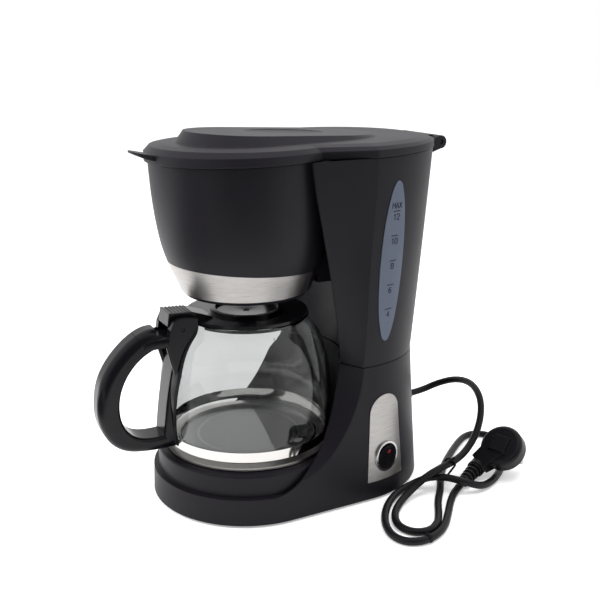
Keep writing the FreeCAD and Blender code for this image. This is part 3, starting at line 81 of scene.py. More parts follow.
# Its painted highlight, a thin pale ring: radius, how far to both sides it is full and ends, and how pale it
# gets.
PLATE_RING_MM = 43.0
PLATE_RING_CORE_MM, PLATE_RING_EDGE_MM = 0.3, 1.5
PLATE_RING_SHARE = 0.6
# Blown glass: width and depth of the waves in its wall. Gauge: width of its clouds.
WALL_WAVE_MM, WALL_WAVE_DEPTH_MM = 30.0, 0.3
GAUGE_CLOUD_MM = 18.0


def linear(code):
    """An sRGB hex colour as linear red, green and blue, with full alpha."""
    channels = [int(code[start:start + 2], 16) / 255.0 for start in (1, 3, 5)]
    return [c / 12.92 if c <= 0.04045 else ((c + 0.055) / 1.055) ** 2.4 for c in channels] + [1.0]


def per_metre(millimetres):
    """The texture scale at which one feature of a pattern has this size."""
    return 1.0 / (millimetres * MM)


def add(tree, kind, links=None, values=None, **settings):
    """Add one node with its settings, its plain values and its incoming links."""
    node = tree.nodes.new(kind)
    for name, value in settings.items():
        setattr(node, name, value)
    for socket, value in (values or {}).items():
        node.inputs[socket].default_value = value
    for socket, source in (links or {}).items():
        tree.links.new(source, node.inputs[socket])
    return node


def new_material(name):
    """An empty material, its tree and its object-space coordinates in metres."""
    material = bpy.data.materials.new(name)
    material.use_nodes = True
    tree = material.node_tree
    tree.nodes.clear()
    place = add(tree, "ShaderNodeTexCoord").outputs["Object"]
    return material, tree, place


def close_material(tree, shader):
    """Join the finished shader to the material's output."""
    add(tree, "ShaderNodeOutputMaterial", links={"Surface": shader.outputs[0]})


def moulded(name, code, worn_code, roughness, grain_mm, depth_mm, specular=0.5, cloud_mm=45.0, edge_mm=0.8):
    """Injection-moulded plastic: an eroded mould leaves fine grain, handling leaves faint paler clouds."""
    material, tree, place = new_material(name)
    grain = add(tree, "ShaderNodeTexNoise", {"Vector": place},
                {"Scale": per_metre(grain_mm), "Detail": 3.0})
    cloud = add(tree, "ShaderNodeTexNoise", {"Vector": place},
                {"Scale": per_metre(cloud_mm), "Detail": 4.0})
    colour = add(tree, "ShaderNodeMix", {"Factor": cloud.outputs["Fac"]}, data_type="RGBA")
    colour.inputs["A"].default_value = linear(code)
    colour.inputs["B"].default_value = linear(worn_code)
    rough = add(tree, "ShaderNodeMapRange", {"Value": cloud.outputs["Fac"]},
                {"To Min": roughness - WEAR_SMOOTHS, "To Max": roughness + WEAR_ROUGHENS})
    edge = add(tree, "ShaderNodeBevel", values={"Radius": edge_mm * MM}, samples=EDGE_SAMPLES)
    bump = add(tree, "ShaderNodeBump", {"Height": grain.outputs["Fac"], "Normal": edge.outputs["Normal"]},
               {"Strength": GRAIN_STRENGTH, "Distance": depth_mm * MM})
    shader = add(tree, "ShaderNodeBsdfPrincipled",
                 {"Base Color": colour.outputs["Result"], "Roughness": rough.outputs["Result"],
                  "Normal": bump.outputs["Normal"]},
                 {"IOR": ABS_IOR, "Specular IOR Level": specular})
    close_material(tree, shader)
    return material


def brushed_stainless():
    """Stainless sheet brushed round the drum: long fine scratches that spread the light sideways."""
    material, tree, place = new_material("brushed_stainless_steel")
    stretch = add(tree, "ShaderNodeMapping", {"Vector": place}, {"Scale": (1.0, 1.0, SCRATCH_STRETCH)})
    scratch = add(tree, "ShaderNodeTexNoise", {"Vector": stretch.outputs["Vector"]},
                  {"Scale": per_metre(SCRATCH_LENGTH_MM), "Detail": 8.0, "Roughness": 0.7})
    colour = add(tree, "ShaderNodeValToRGB", {"Fac": scratch.outputs["Fac"]})
    colour.color_ramp.elements[0].position = 0.3
    colour.color_ramp.elements[0].color = linear("#989593")
    colour.color_ramp.elements[1].position = 0.7
    colour.color_ramp.elements[1].color = linear("#bebbb9")
    rough = add(tree, "ShaderNodeMapRange", {"Value": scratch.outputs["Fac"]},
                {"To Min": 0.28, "To Max": 0.42})
    bump = add(tree, "ShaderNodeBump", {"Height": scratch.outputs["Fac"]},
               {"Strength": 0.12, "Distance": SCRATCH_DEPTH_MM * MM})
    shader = add(tree, "ShaderNodeBsdfPrincipled",
                 {"Base Color": colour.outputs["Color"], "Roughness": rough.outputs["Result"],
                  "Normal": bump.outputs["Normal"]},
                 {"Metallic": 1.0})
    close_material(tree, shader)
    return material


def metal(name, code, dull_code, roughness, grain_mm):
    """Plain metal with a little cloudiness from its finishing."""
    material, tree, place = new_material(name)
    grain = add(tree, "ShaderNodeTexNoise", {"Vector": place},
                {"Scale": per_metre(grain_mm), "Detail": 5.0})
    colour = add(tree, "ShaderNodeMix", {"Factor": grain.outputs["Fac"]}, data_type="RGBA")
    colour.inputs["A"].default_value = linear(code)
    colour.inputs["B"].default_value = linear(dull_code)
    rough = add(tree, "ShaderNodeMapRange", {"Value": grain.outputs["Fac"]},
                {"To Min": roughness * BRIGHT_SHARE, "To Max": roughness * DULL_SHARE})
    shader = add(tree, "ShaderNodeBsdfPrincipled",
                 {"Base Color": colour.outputs["Result"], "Roughness": rough.outputs["Result"]},
                 {"Metallic": 1.0})
    close_material(tree, shader)
    return material


def painted_highlight_ring(tree, radius):
    """The painted highlight: largest on the plate's ring, falling to nought on both sides of it."""
    from_ring = add(tree, "ShaderNodeMath", {0: radius}, {1: PLATE_RING_MM * MM}, operation="SUBTRACT")
    off_ring = add(tree, "ShaderNodeMath", {0: from_ring.outputs["Value"]}, operation="ABSOLUTE")
    painted_highlight = add(tree, "ShaderNodeMapRange", {"Value": off_ring.outputs["Value"]},
                 {"From Min": PLATE_RING_CORE_MM * MM, "From Max": PLATE_RING_EDGE_MM * MM,
                  "To Min": PLATE_RING_SHARE, "To Max": 0.0})
    return painted_highlight.outputs["Result"]


def coated_plate():
    """Warming plate: dark baked-on coat with a pale ring painted on as a highlight, and a bare bright rim.
    """
    material, tree, place = new_material("coated_steel_plate")
    centred = add(tree, "ShaderNodeVectorMath", {0: place}, {1: spot(0.0, 0.0, PLATE_TOP_MM)},
                  operation="SUBTRACT")
    radius = add(tree, "ShaderNodeVectorMath", {0: centred.outputs["Vector"]}, operation="LENGTH")
    bare = add(tree, "ShaderNodeMapRange", {"Value": radius.outputs["Value"]},
               {"From Min": (PLATE_RIM_MM - PLATE_RIM_BLUR_MM) * MM,
                "From Max": (PLATE_RIM_MM + PLATE_RIM_BLUR_MM) * MM})
    speck = add(tree, "ShaderNodeTexNoise", {"Vector": place},
                {"Scale": per_metre(PLATE_SPECK_MM), "Detail": 4.0})
    coat = add(tree, "ShaderNodeMix", {"Factor": speck.outputs["Fac"]}, data_type="RGBA")
    coat.inputs["A"].default_value = linear("#2c2a28")
    coat.inputs["B"].default_value = linear("#383633")
    # Painted highlight: a pale ring mixed into the coat.
    coat_with_painted_highlight = add(tree, "ShaderNodeMix", {"Factor": painted_highlight_ring(tree, radius.outputs["Value"]),
                                       "A": coat.outputs["Result"]}, data_type="RGBA")
    coat_with_painted_highlight.inputs["B"].default_value = linear("#8f8c88")
    colour = add(tree, "ShaderNodeMix", {"Factor": bare.outputs["Result"], "A": coat_with_painted_highlight.outputs["Result"]},
                 data_type="RGBA")
    colour.inputs["B"].default_value = linear("#a9a6a2")
    rough = add(tree, "ShaderNodeMapRange", {"Value": bare.outputs["Result"]},
                {"To Min": 0.42, "To Max": 0.3})
    shader = add(tree, "ShaderNodeBsdfPrincipled",
                 {"Base Color": colour.outputs["Result"], "Roughness": rough.outputs["Result"],
                  "Metallic": bare.outputs["Result"]})
    close_material(tree, shader)
    return material


def borosilicate_glass():
    """Blown heat-proof glass: clear, with a faint unevenness of the blown wall."""
    material, tree, place = new_material("borosilicate_glass")
    wave = add(tree, "ShaderNodeTexNoise", {"Vector": place},
               {"Scale": per_metre(WALL_WAVE_MM), "Detail": 1.0})
    bump = add(tree, "ShaderNodeBump", {"Height": wave.outputs["Fac"]},
               {"Strength": 0.05, "Distance": WALL_WAVE_DEPTH_MM * MM})
    shader = add(tree, "ShaderNodeBsdfPrincipled", {"Normal": bump.outputs["Normal"]},
                 {"Base Color": linear("#f1f2f2"), "Roughness": 0.0, "IOR": GLASS_IOR,
                  "Transmission Weight": 1.0})
    close_material(tree, shader)
    return material


def tinted_gauge():
    """Smoke-blue polycarbonate: slightly milky, with a smooth polished face."""
    material, tree, place = new_material("tinted_polycarbonate")
    haze = add(tree, "ShaderNodeTexNoise", {"Vector": place},
               {"Scale": per_metre(GAUGE_CLOUD_MM), "Detail": 3.0})
    colour = add(tree, "ShaderNodeMix", {"Factor": haze.outputs["Fac"]}, data_type="RGBA")
    colour.inputs["A"].default_value = linear("#525a6a")
    colour.inputs["B"].default_value = linear("#5c6474")
    shader = add(tree, "ShaderNodeBsdfPrincipled", {"Base Color": colour.outputs["Result"]},
                 {"Roughness": 0.3, "IOR": POLYCARBONATE_IOR, "Specular IOR Level": 0.2})
    close_material(tree, shader)
    return material


# ABS from an eroded mould: black with a trace of violet and a broad soft sheen.
ABS = moulded("moulded_abs_black", "#16141a", "#1a181e", roughness=0.42, grain_mm=1.2, depth_mm=0.10,
              specular=0.17, edge_mm=1.4)
# The same ABS on the lid, a little paler, so that its top greys under the light.
LID_ABS = moulded("moulded_abs_lid", "#19171d", "#1e1c22", roughness=0.46, grain_mm=1.2, depth_mm=0.10,
                  specular=0.19, edge_mm=1.6)
# ABS from a polished mould: tighter highlights on handle, lever and rocker.
GLOSS_ABS = moulded("polished_abs_black", "#0d0c10", "#111014", roughness=0.2, grain_mm=2.0, depth_mm=0.04,
                    specular=0.2, edge_mm=0.7)
# ABS from a mirror-polished mould: the carafe's lid mirrors the dark drum over it.
POLISHED_ABS = moulded("mirror_polished_abs", "#0e0d11", "#121115", roughness=0.14, grain_mm=3.0,
                       depth_mm=0.02, specular=0.26, edge_mm=0.6)
# Polypropylene, moulded: duller and greyer than the housings.
POLYPROPYLENE = moulded("polypropylene_black", "#1f1e20", "#262527", roughness=0.5, grain_mm=1.5,
                        depth_mm=0.10)
# Natural nylon, moulded: the cream of a terminal block.
NYLON = moulded("natural_nylon", "#d9d4c8", "#e2ddd2", roughness=0.5, grain_mm=1.5, depth_mm=0.08)
# Nylon filter cloth, woven: tan and matt, its threads drawn as coarse as 0.8 mm to show.
MESH = moulded("nylon_filter_cloth", "#a6987f", "#b5a78e", roughness=0.7, grain_mm=0.8, depth_mm=0.3)
# Silicone rubber, moulded: nearly black with hardly any sheen.
SILICONE = moulded("silicone_rubber_black", "#0c0c0c", "#111111", roughness=0.6, grain_mm=1.0,
                   depth_mm=0.08, specular=0.2)
# Clear silicone, extruded: a milky tube.
TUBE = moulded("translucent_silicone_tube", "#c9c4b8", "#d3cec3", roughness=0.35, grain_mm=2.0,
               depth_mm=0.05)
# Soft PVC, extruded: a satin black sheath that looks a little dusty along its length.
PVC = moulded("pvc_sheath_black", "#0f0e11", "#141316", roughness=0.36, grain_mm=0.9, depth_mm=0.12,
              specular=0.2, cloud_mm=25.0)
STAINLESS = brushed_stainless()
# Nickel plate, polished: small bright mirrors.
CHROME = metal("bright_nickel_plate", "#d8d7d5", "#c9c8c6", roughness=0.14, grain_mm=12.0)
# Stainless strip, polished: it mirrors the white table in front and the dark bay behind.
POLISHED_STEEL = metal("polished_stainless_steel", "#dcdad7", "#cfccc9", roughness=0.07, grain_mm=20.0)
PLATE_STEEL = coated_plate()
# Aluminium, cast: pale and dull.
ALUMINIUM = metal("cast_aluminium", "#bdbebf", "#aeafb0", roughness=0.45, grain_mm=6.0)
GLASS = borosilicate_glass()
GAUGE = tinted_gauge()
# Screen ink, printed: flat blue-black strokes.
SCALE_INK = moulded("scale_ink_blue_black", "#1d2033", "#23263a", roughness=0.6, grain_mm=1.0,
                    depth_mm=0.02, specular=0.1)
# Dyed acrylic, moulded: a small dark red lens.
RED_LENS = moulded("red_signal_acrylic", "#6e1219", "#82161e", roughness=0.35, grain_mm=2.0,
                   depth_mm=0.03, specular=0.2)

FINISHES = {
    ABS: ["lower_housing", "upper_housing", "base_plate"],
    LID_ABS: ["lid"],
    GLOSS_ABS: ["carafe_handle", "thumb_lever", "lever_pin", "lid_hinge_pin", "switch_rocker"],
    POLISHED_ABS: ["carafe_lid"],
    POLYPROPYLENE: ["filter_basket", "shower_plate", "spout", "check_valve", "switch_body", "drip_pin"],
    STAINLESS: ["drum_band", "switch_plate"],
    CHROME: ["switch_bezel", "plug_pins", "rocker_pin", "base_screws", "check_ball"],
    POLISHED_STEEL: ["carafe_band"],
    PLATE_STEEL: ["warming_plate"],
    ALUMINIUM: ["heat_spreader", "heating_element", "element_clamp", "thermostat", "thermal_fuse"],
    GLASS: ["carafe_glass"],
    GAUGE: ["water_window"],
    MESH: ["mesh_filter"],
    SILICONE: ["plate_gasket", "foot_front_left", "foot_front_right", "foot_back_left", "foot_back_right",
               "inlet_hose", "drip_seal"],
    TUBE: ["riser_pipe"],
    NYLON: ["terminal_block"],
    PVC: ["mains_cord", "cord_gland", "plug_relief", "plug_body", "cord_tie"],
}


def finish_nodes():
    """Give every solid of the frame its finish."""
    for material, names in FINISHES.items():
        for name in names:
            mesh = nodes[name].data
            mesh.materials.clear()
            mesh.materials.append(material)


# Cord

# The solid's route with the strands of both loops moved to lie as in the photograph.
CORD_ROUTE = (
    (-8.45, 171.63, 47.0), (-9.67, 185.58, 47.0), (-5.0, 200.0, 53.5), (10.0, 210.0, 61.5),
    (31.0, 212.0, 65.0), (52.0, 207.0, 60.0), (65.0, 199.0, 48.0), (73.0, 188.0, 34.5), (79.0, 174.0, 24.8),
    (85.0, 158.0, 20.8), (89.5, 141.0, 20.6), (90.0, 123.0, 15.4), (91.5, 107.0, 7.0), (99.5, 90.5, 3.3),
    (113.5, 76.5, 3.3), (129.5, 70.0, 3.3), (143.0, 75.0, 3.3), (147.0, 88.5, 3.3), (139.5, 101.0, 3.3),
    (127.0, 110.5, 3.3), (111.0, 121.0, 3.3), (96.5, 134.0, 4.2), (81.0, 145.0, 5.6), (63.0, 161.0, 4.4),
    (44.0, 182.0, 3.3), (26.0, 205.0, 3.3), (17.5, 219.0, 3.3), (16.5, 232.0, 3.3), (27.0, 242.4, 3.3),
    (42.5, 242.6, 3.3), (60.0, 234.0, 3.3), (77.0, 218.0, 3.3), (92.0, 201.0, 3.3), (104.0, 183.0, 3.3),
    (110.0, 166.0, 5.4), (106.0, 151.0, 11.8), (94.0, 141.0, 12.8), (83.0, 131.0, 10.4), (78.0, 115.0, 4.0),
    (84.5, 96.5, 3.3), (98.5, 79.0, 3.3), (117.0, 65.0, 3.3), (136.0, 58.0, 3.3), (150.0, 61.0, 3.3),
    (156.5, 73.0, 3.3), (155.0, 87.0, 3.3), (147.0, 102.0, 3.3), (131.0, 117.0, 3.3), (115.0, 131.0, 3.3),
    (102.5, 145.0, 3.4), (97.0, 157.0, 5.6),
)
# Radius of the cord's sheath, in millimetres.
CORD_RADIUS_MM = 3.1


def mains_cord():
    """The smooth sheath that stands for the solid cord."""
    curve = bpy.data.curves.new("cord_line", "CURVE")
    curve.dimensions = "3D"
    spline = curve.splines.new("NURBS")
    spline.points.add(len(CORD_ROUTE) - 1)
    for point, place in zip(spline.points, CORD_ROUTE):
        point.co = (*spot(*place), 1.0)
    spline.order_u = 3
    spline.use_endpoint_u = True
    spline.resolution_u = 8
    curve.bevel_depth = CORD_RADIUS_MM * MM
    curve.bevel_resolution = 5
    curve.use_fill_caps = True
    cord = bpy.data.objects.new("cord_sheath", curve)
    bpy.context.collection.objects.link(cord)
    put(cord, PVC, "machine")
    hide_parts("mains_cord")


# Marks and small pieces

def touch(node, start, ahead):
    """The point and outward normal where a ray first meets a node."""
    inverse = node.matrix_world.inverted()
    found, place, normal, _ = node.ray_cast(inverse @ start, inverse.to_3x3() @ ahead)
    if not found:
        raise RuntimeError(f"no surface of {node.name} on this ray")
    return node.matrix_world @ place, (node.matrix_world.to_3x3() @ normal).normalized()


def lines(name, strokes, radius_mm, closed=False, roundness=2):
    """Thin round lines through lists of points."""
    curve = bpy.data.curves.new(name, "CURVE")
    curve.dimensions = "3D"
    curve.bevel_depth = radius_mm * MM
    curve.bevel_resolution = roundness
    curve.use_fill_caps = not closed
    for stroke in strokes:
        spline = curve.splines.new("POLY")
        spline.points.add(len(stroke) - 1)
        for point, place in zip(spline.points, stroke):
            point.co = (*place, 1.0)
        spline.use_cyclic_u = closed
    thing = bpy.data.objects.new(name, curve)
    bpy.context.collection.objects.link(thing)
    return thing


def join_rings(shape, rings):
    """Faces between each ring of points and the next."""
    for near, far in zip(rings, rings[1:]):
        for index in range(len(near)):
            shape.faces.new((near[index - 1], near[index], far[index], far[index - 1]))


def smooth_piece(name, shape):
    """An object from a finished bmesh, with its faces turned outwards and shaded smooth."""
    bmesh.ops.recalc_face_normals(shape, faces=shape.faces)
    mesh = bpy.data.meshes.new(name)
    shape.to_mesh(mesh)
    shape.free()
    mesh.shade_smooth()
    thing = bpy.data.objects.new(name, mesh)
    bpy.context.collection.objects.link(thing)
    return thing


def put(thing, material, body):
    """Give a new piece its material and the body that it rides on."""
    thing.data.materials.append(material)
    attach(thing, body)


# Strokes of each letter on a field one unit high.
LETTERS = {
    "0": [[(0, 0.2), (0, 0.8), (0.15, 1), (0.45, 1), (0.6, 0.8), (0.6, 0.2), (0.45, 0), (0.15, 0),
           (0, 0.2)]],
    "1": [[(0.1, 0.78), (0.34, 1), (0.34, 0)]],
    "2": [[(0, 0.78), (0.15, 1), (0.45, 1), (0.6, 0.82), (0.6, 0.62), (0, 0), (0.6, 0)]],
    "4": [[(0.45, 0), (0.45, 1), (0, 0.3), (0.62, 0.3)]],
    "6": [[(0.56, 0.94), (0.3, 1), (0.06, 0.75), (0, 0.3), (0.15, 0), (0.45, 0), (0.6, 0.2), (0.6, 0.38),
           (0.45, 0.55), (0.15, 0.55), (0, 0.35)]],
    "8": [[(0.15, 0.53), (0.02, 0.7), (0.02, 0.85), (0.15, 1), (0.45, 1), (0.58, 0.85), (0.58, 0.7),
           (0.45, 0.53), (0.15, 0.53), (0, 0.35), (0, 0.15), (0.15, 0), (0.45, 0), (0.6, 0.15), (0.6, 0.35),
           (0.45, 0.53)]],
    "M": [[(0, 0), (0, 1), (0.32, 0.4), (0.64, 1), (0.64, 0)]],
    "A": [[(0, 0), (0.31, 1), (0.62, 0)], [(0.12, 0.34), (0.5, 0.34)]],
    "X": [[(0, 0), (0.58, 1)], [(0, 1), (0.58, 0)]],
}
# Half a letter's width on that field.
LETTER_MIDDLE = 0.3
# Words of the scale with the height of their foot, and the heights of the tick lines, in millimetres.
SCALE_WORDS = (("MAX", 245.6), ("12", 236.6), ("10", 217.4), ("8", 197.4), ("6", 177.6), ("4", 157.6))
SCALE_TICKS = (243.4, 224.0, 204.0, 184.2, 164.2)
LETTER_HEIGHT_MM = 4.4
LETTER_STEP_MM = 3.5
TICK_HALF_MM = 3.4
TICK_POINTS_EACH_SIDE = 3
INK_RADIUS_MM = 0.32
# Window and switch: bearings from the column's middle in degrees, heights, and the window's sideways lean.
WINDOW_ANGLE = 11.0
WINDOW_MIDDLE_MM = 202.0
WINDOW_LEAN = 0.011
SWITCH_ANGLE = 11.7
SWITCH_HEIGHT_MM = 36.5
# Distance from the column's middle that is well outside it.
OUTSIDE_COLUMN_MM = 130.0


def beside_column(angle, across, height):
    """A start point outside the column and the way in to it, for a place across the given direction."""
    turn = math.radians(angle)
    outward = Vector((math.cos(turn), math.sin(turn), 0.0))
    sideways = Vector((-math.sin(turn), math.cos(turn), 0.0))
    start = spot(0.0, COLUMN_Y, height) + (outward * OUTSIDE_COLUMN_MM + sideways * across) * MM
    return start, -outward


def on_window(across, height):
    """The point on the window's face at a height, so far across from its leaning middle line."""
    across += (height - WINDOW_MIDDLE_MM) * WINDOW_LEAN
    return touch(nodes["water_window"], *beside_column(WINDOW_ANGLE, across, height))[0]


def word_strokes(word, foot):
    """The strokes of one word of the scale, centred on the window."""
    begin = -0.5 * (len(word) - 1) * LETTER_STEP_MM - LETTER_MIDDLE * LETTER_HEIGHT_MM
    strokes = []
    for index, letter in enumerate(word):
        left = begin + index * LETTER_STEP_MM
        for stroke in LETTERS[letter]:
            strokes.append([on_window(left + x * LETTER_HEIGHT_MM, foot + y * LETTER_HEIGHT_MM)
                            for x, y in stroke])
    return strokes


def water_scale():
    """Printed cup numbers and tick lines on the water window."""
    strokes = []
    for word, foot in SCALE_WORDS:
        strokes += word_strokes(word, foot)
    steps = range(-TICK_POINTS_EACH_SIDE, TICK_POINTS_EACH_SIDE + 1)
    for height in SCALE_TICKS:
        strokes.append([on_window(TICK_HALF_MM * step / TICK_POINTS_EACH_SIDE, height) for step in steps])
    put(lines("water_scale", strokes, INK_RADIUS_MM), SCALE_INK, "machine")


# Red lens: its radius and dome, the share of the dome by which its rim stands over the rocker, its place
# from the switch's middle, and its points.
LENS_RADIUS_MM = 1.9
LENS_DOME_MM = 0.25
LENS_RIM_SHARE = 0.02
LENS_ACROSS_MM, LENS_RAISED_MM = 1.2, 4.4
LENS_RINGS, LENS_AROUND = 4, 20


def lens_ring(shape, share):
    """One ring of the lens, at a share of its radius, laid on the rocker and raised by the dome."""
    reach = LENS_RADIUS_MM * share
    lift = LENS_DOME_MM * (1.0 + LENS_RIM_SHARE - share ** 2) * MM
    ring = []
    for turn in round_turns(LENS_AROUND):
        across = LENS_ACROSS_MM + reach * math.cos(turn)
        height = SWITCH_HEIGHT_MM + LENS_RAISED_MM + reach * math.sin(turn)
        place, normal = touch(nodes["switch_rocker"], *beside_column(SWITCH_ANGLE, across, height))
        ring.append(shape.verts.new(place + normal * lift))
    return ring


def red_mark():
    """The small red lens let into the rocker, domed a little over its face."""
    shape = bmesh.new()
    rings = [lens_ring(shape, step / LENS_RINGS) for step in range(1, LENS_RINGS + 1)]
    shape.faces.new(rings[0])
    join_rings(shape, rings)
    put(smooth_piece("red_mark", shape), RED_LENS, "rocker")


# Joint line of the grip: the grip's middle there, the way to its top side, and the line's points and radius.
SEAM_CENTRE = (0.0, -93.0, 141.5)
SEAM_UPWARD = (0.0, -0.5, 0.87)
SEAM_AROUND = 48
SEAM_RADIUS_MM = 0.22


def handle_seam():
    """The fine joint line round the top of the grip."""
    centre = spot(*SEAM_CENTRE)
    upward = Vector(SEAM_UPWARD).normalized()
    ring = []
    for turn in round_turns(SEAM_AROUND):
        outward = RIGHTWARD * math.cos(turn) + upward * math.sin(turn)
        ring.append(touch(nodes["carafe_handle"], centre, outward)[0])
    put(lines("handle_seam", [ring], SEAM_RADIUS_MM, closed=True), SILICONE, "carafe")


# Swell beside the grip, from the yoke's cheek outwards: (y, middle height, outer side, half height).
SWELL = ((-67.0, 142.6, 17.4, 4.2), (-73.0, 142.4, 17.4, 4.2), (-77.0, 142.1, 16.6, 4.1),
         (-81.5, 141.5, 15.0, 4.0), (-86.5, 140.4, 13.5, 3.8), (-91.5, 138.6, 12.6, 3.5),
         (-95.0, 137.0, 12.0, 3.2))
SWELL_INSIDE_MM = 11.7
SWELL_SQUARENESS = 0.6
SWELL_AROUND = 24
# Front edge of a cheek's tail, going down, and its rounding.
TAIL_EDGE = ((-72.6, 141.0), (-69.6, 127.0), (-67.2, 118.5), (-65.2, 111.5))
TAIL_SIDE_MM = 14.55
TAIL_ROUND_MM = 3.0


def squared(part):
    """A sine or cosine drawn towards its ends, which makes a circle a rounded oblong."""
    return math.copysign(abs(part) ** SWELL_SQUARENESS, part)


def swell_ring(shape, side, y, height, outer, half):
    """One rounded oblong of the swell, on the right side or, with a side of -1, on the left."""
    middle, reach = 0.5 * (SWELL_INSIDE_MM + outer), 0.5 * (outer - SWELL_INSIDE_MM)
    ring = []
    for turn in round_turns(SWELL_AROUND):
        x = side * (middle + reach * squared(math.cos(turn)))
        ring.append(shape.verts.new(spot(x, y, height + half * squared(math.sin(turn)))))
    return ring


def yoke_swells():
    """The swell on each side by which the yoke's cheek runs into the grip."""
    shape = bmesh.new()
    for side in BOTH_SIDES:
        rings = [swell_ring(shape, side, *row) for row in SWELL]
        shape.faces.new(rings[0])
        shape.faces.new(rings[-1])
        join_rings(shape, rings)
    put(smooth_piece("yoke_swells", shape), GLOSS_ABS, "carafe")


def yoke_edges():
    """The rounding along the front of each cheek's tail."""
    edges = [[spot(side * TAIL_SIDE_MM, y, z) for y, z in TAIL_EDGE] for side in BOTH_SIDES]
    put(lines("yoke_edges", edges, TAIL_ROUND_MM, roundness=6), GLOSS_ABS, "carafe")


# Small tie: the run of the cord whose middle it starts at, its turns with their points, radius and pitch,
# and the radius of its wire.
TIE_RUN = ((156.5, 73.0, 3.8), (155.0, 87.0, 3.8))
TIE_TURNS, TIE_STEPS = 2, 20
TIE_RADIUS_MM = 3.4
TIE_PITCH_MM = 1.2
TIE_WIRE_RADIUS_MM = 0.55


def small_tie():
    """A short wire tie round one strand of the outer loop."""
    first, second = [spot(*end) for end in TIE_RUN]
    ahead = (second - first).normalized()
    sideways = ahead.cross(UPWARD)
    centre = first.lerp(second, 0.5)
    coil = []
    for index in range(TIE_TURNS * TIE_STEPS + 1):
        turns = index / TIE_STEPS
        angle = 2.0 * math.pi * turns
        out = (sideways * math.cos(angle) + UPWARD * math.sin(angle)) * TIE_RADIUS_MM * MM
        coil.append(centre + ahead * (TIE_PITCH_MM * turns * MM) + out)
    put(lines("small_tie", [coil], TIE_WIRE_RADIUS_MM), PVC, "machine")


# Light, floor and camera

# Camera, fitted to the photograph: angles in degrees, distance from the carafe's axis, height and lens.
CAMERA_AZIMUTH = 66.67
CAMERA_DISTANCE_MM = 699.95
CAMERA_HEIGHT_MM = 362.3
CAMERA_YAW = 3.63
CAMERA_PITCH = 15.88
CAMERA_LENS_MM = 52.83
SENSOR_MM = 36.0
# Table: half its width, its glow for the camera and its painted reflection (patches that only glossy rays
# see dark), in metres and cosines.
FLOOR_HALF = 6.0
FLOOR_LIFT = 0.35
STRIP_START, STRIP_FULL = -0.22, -0.42
STRIP_HALF, STRIP_EDGE = 0.15, 0.4
FAN_START, FAN_FULL = 0.32, 0.6
FAN_EDGE_COSINE, FAN_FULL_COSINE = 0.7, 0.95
FAN_DIRECTION = (0.918, -0.396, 0.0)
# Surround: its strength through glass, and the darker side of the studio.
THROUGH_GLASS = 0.7
DARK_SIDE = (0.88, -0.42, 0.2)
DARK_EDGE, DARK_FULL, DARK_LEVEL = 0.45, 0.95, 0.1
# Softboxes: name, place, what they face, width and height in millimetres, and watts.
SOFTBOXES = (
    ("softbox_left", (-500.0, -900.0, 700.0), (0.0, 0.0, 180.0), 600.0, 700.0, 12.0),
    ("softbox_top", (100.0, 100.0, 1200.0), (0.0, 40.0, 150.0), 900.0, 900.0, 10.0),
)


def camera():
    azimuth = math.radians(CAMERA_AZIMUTH)
    yaw = math.radians(CAMERA_YAW)
    pitch = math.radians(CAMERA_PITCH)
    ahead = Vector((-math.sin(azimuth), math.cos(azimuth), 0.0))
    right = Vector((math.cos(azimuth), math.sin(azimuth), 0.0))
    level = ahead * math.cos(yaw) + right * math.sin(yaw)
    looking = level * math.cos(pitch) - UPWARD * math.sin(pitch)
    data = bpy.data.cameras.new("photo_camera")
    data.lens = CAMERA_LENS_MM
    data.sensor_width = SENSOR_MM
    eye = bpy.data.objects.new("photo_camera", data)
    bpy.context.collection.objects.link(eye)
    eye.location = spot(-ahead.x * CAMERA_DISTANCE_MM, -ahead.y * CAMERA_DISTANCE_MM, CAMERA_HEIGHT_MM)
    eye.rotation_mode = "QUATERNION"
    eye.rotation_quaternion = looking.to_track_quat("-Z", "Y")
    bpy.context.scene.camera = eye


def studio():
    """A white surround with one darker side, as a studio has."""
    world = bpy.data.worlds.new("studio")
    bpy.context.scene.world = world
    world.use_nodes = True
    tree = world.node_tree
    tree.nodes.clear()
    direction = add(tree, "ShaderNodeTexCoord").outputs["Generated"]
    towards = add(tree, "ShaderNodeVectorMath", {0: direction}, {1: DARK_SIDE}, operation="DOT_PRODUCT")
    shade = add(tree, "ShaderNodeMapRange", {"Value": towards.outputs["Value"]},
                {"From Min": DARK_EDGE, "From Max": DARK_FULL, "To Min": 1.0, "To Max": DARK_LEVEL},
                interpolation_type="SMOOTHSTEP")
    path = add(tree, "ShaderNodeLightPath")
    through = add(tree, "ShaderNodeMix", {"Factor": path.outputs["Is Transmission Ray"],
                                          "A": shade.outputs["Result"]}, data_type="FLOAT")
    through.inputs["B"].default_value = THROUGH_GLASS
    strength = add(tree, "ShaderNodeMix", {"Factor": path.outputs["Is Camera Ray"],
                                           "A": through.outputs["Result"]}, data_type="FLOAT")
    strength.inputs["B"].default_value = 1.0
    surround = add(tree, "ShaderNodeBackground", {"Strength": strength.outputs["Result"]},
                   {"Color": linear("#ffffff")})
    add(tree, "ShaderNodeOutputWorld", {"Surface": surround.outputs["Background"]})


def softbox(name, place, target, width_mm, height_mm, watts):
    """A soft area light that leaves no bright square in glass and gloss."""
    data = bpy.data.lights.new(name, "AREA")
    data.shape = "RECTANGLE"
    data.size = width_mm * MM
    data.size_y = height_mm * MM
    data.energy = watts
    light = bpy.data.objects.new(name, data)
    bpy.context.collection.objects.link(light)
    light.location = spot(*place)
    light.rotation_mode = "QUATERNION"
    light.rotation_quaternion = (spot(*target) - light.location).to_track_quat("-Z", "Y")
    light.visible_glossy = False
    light.visible_transmission = False


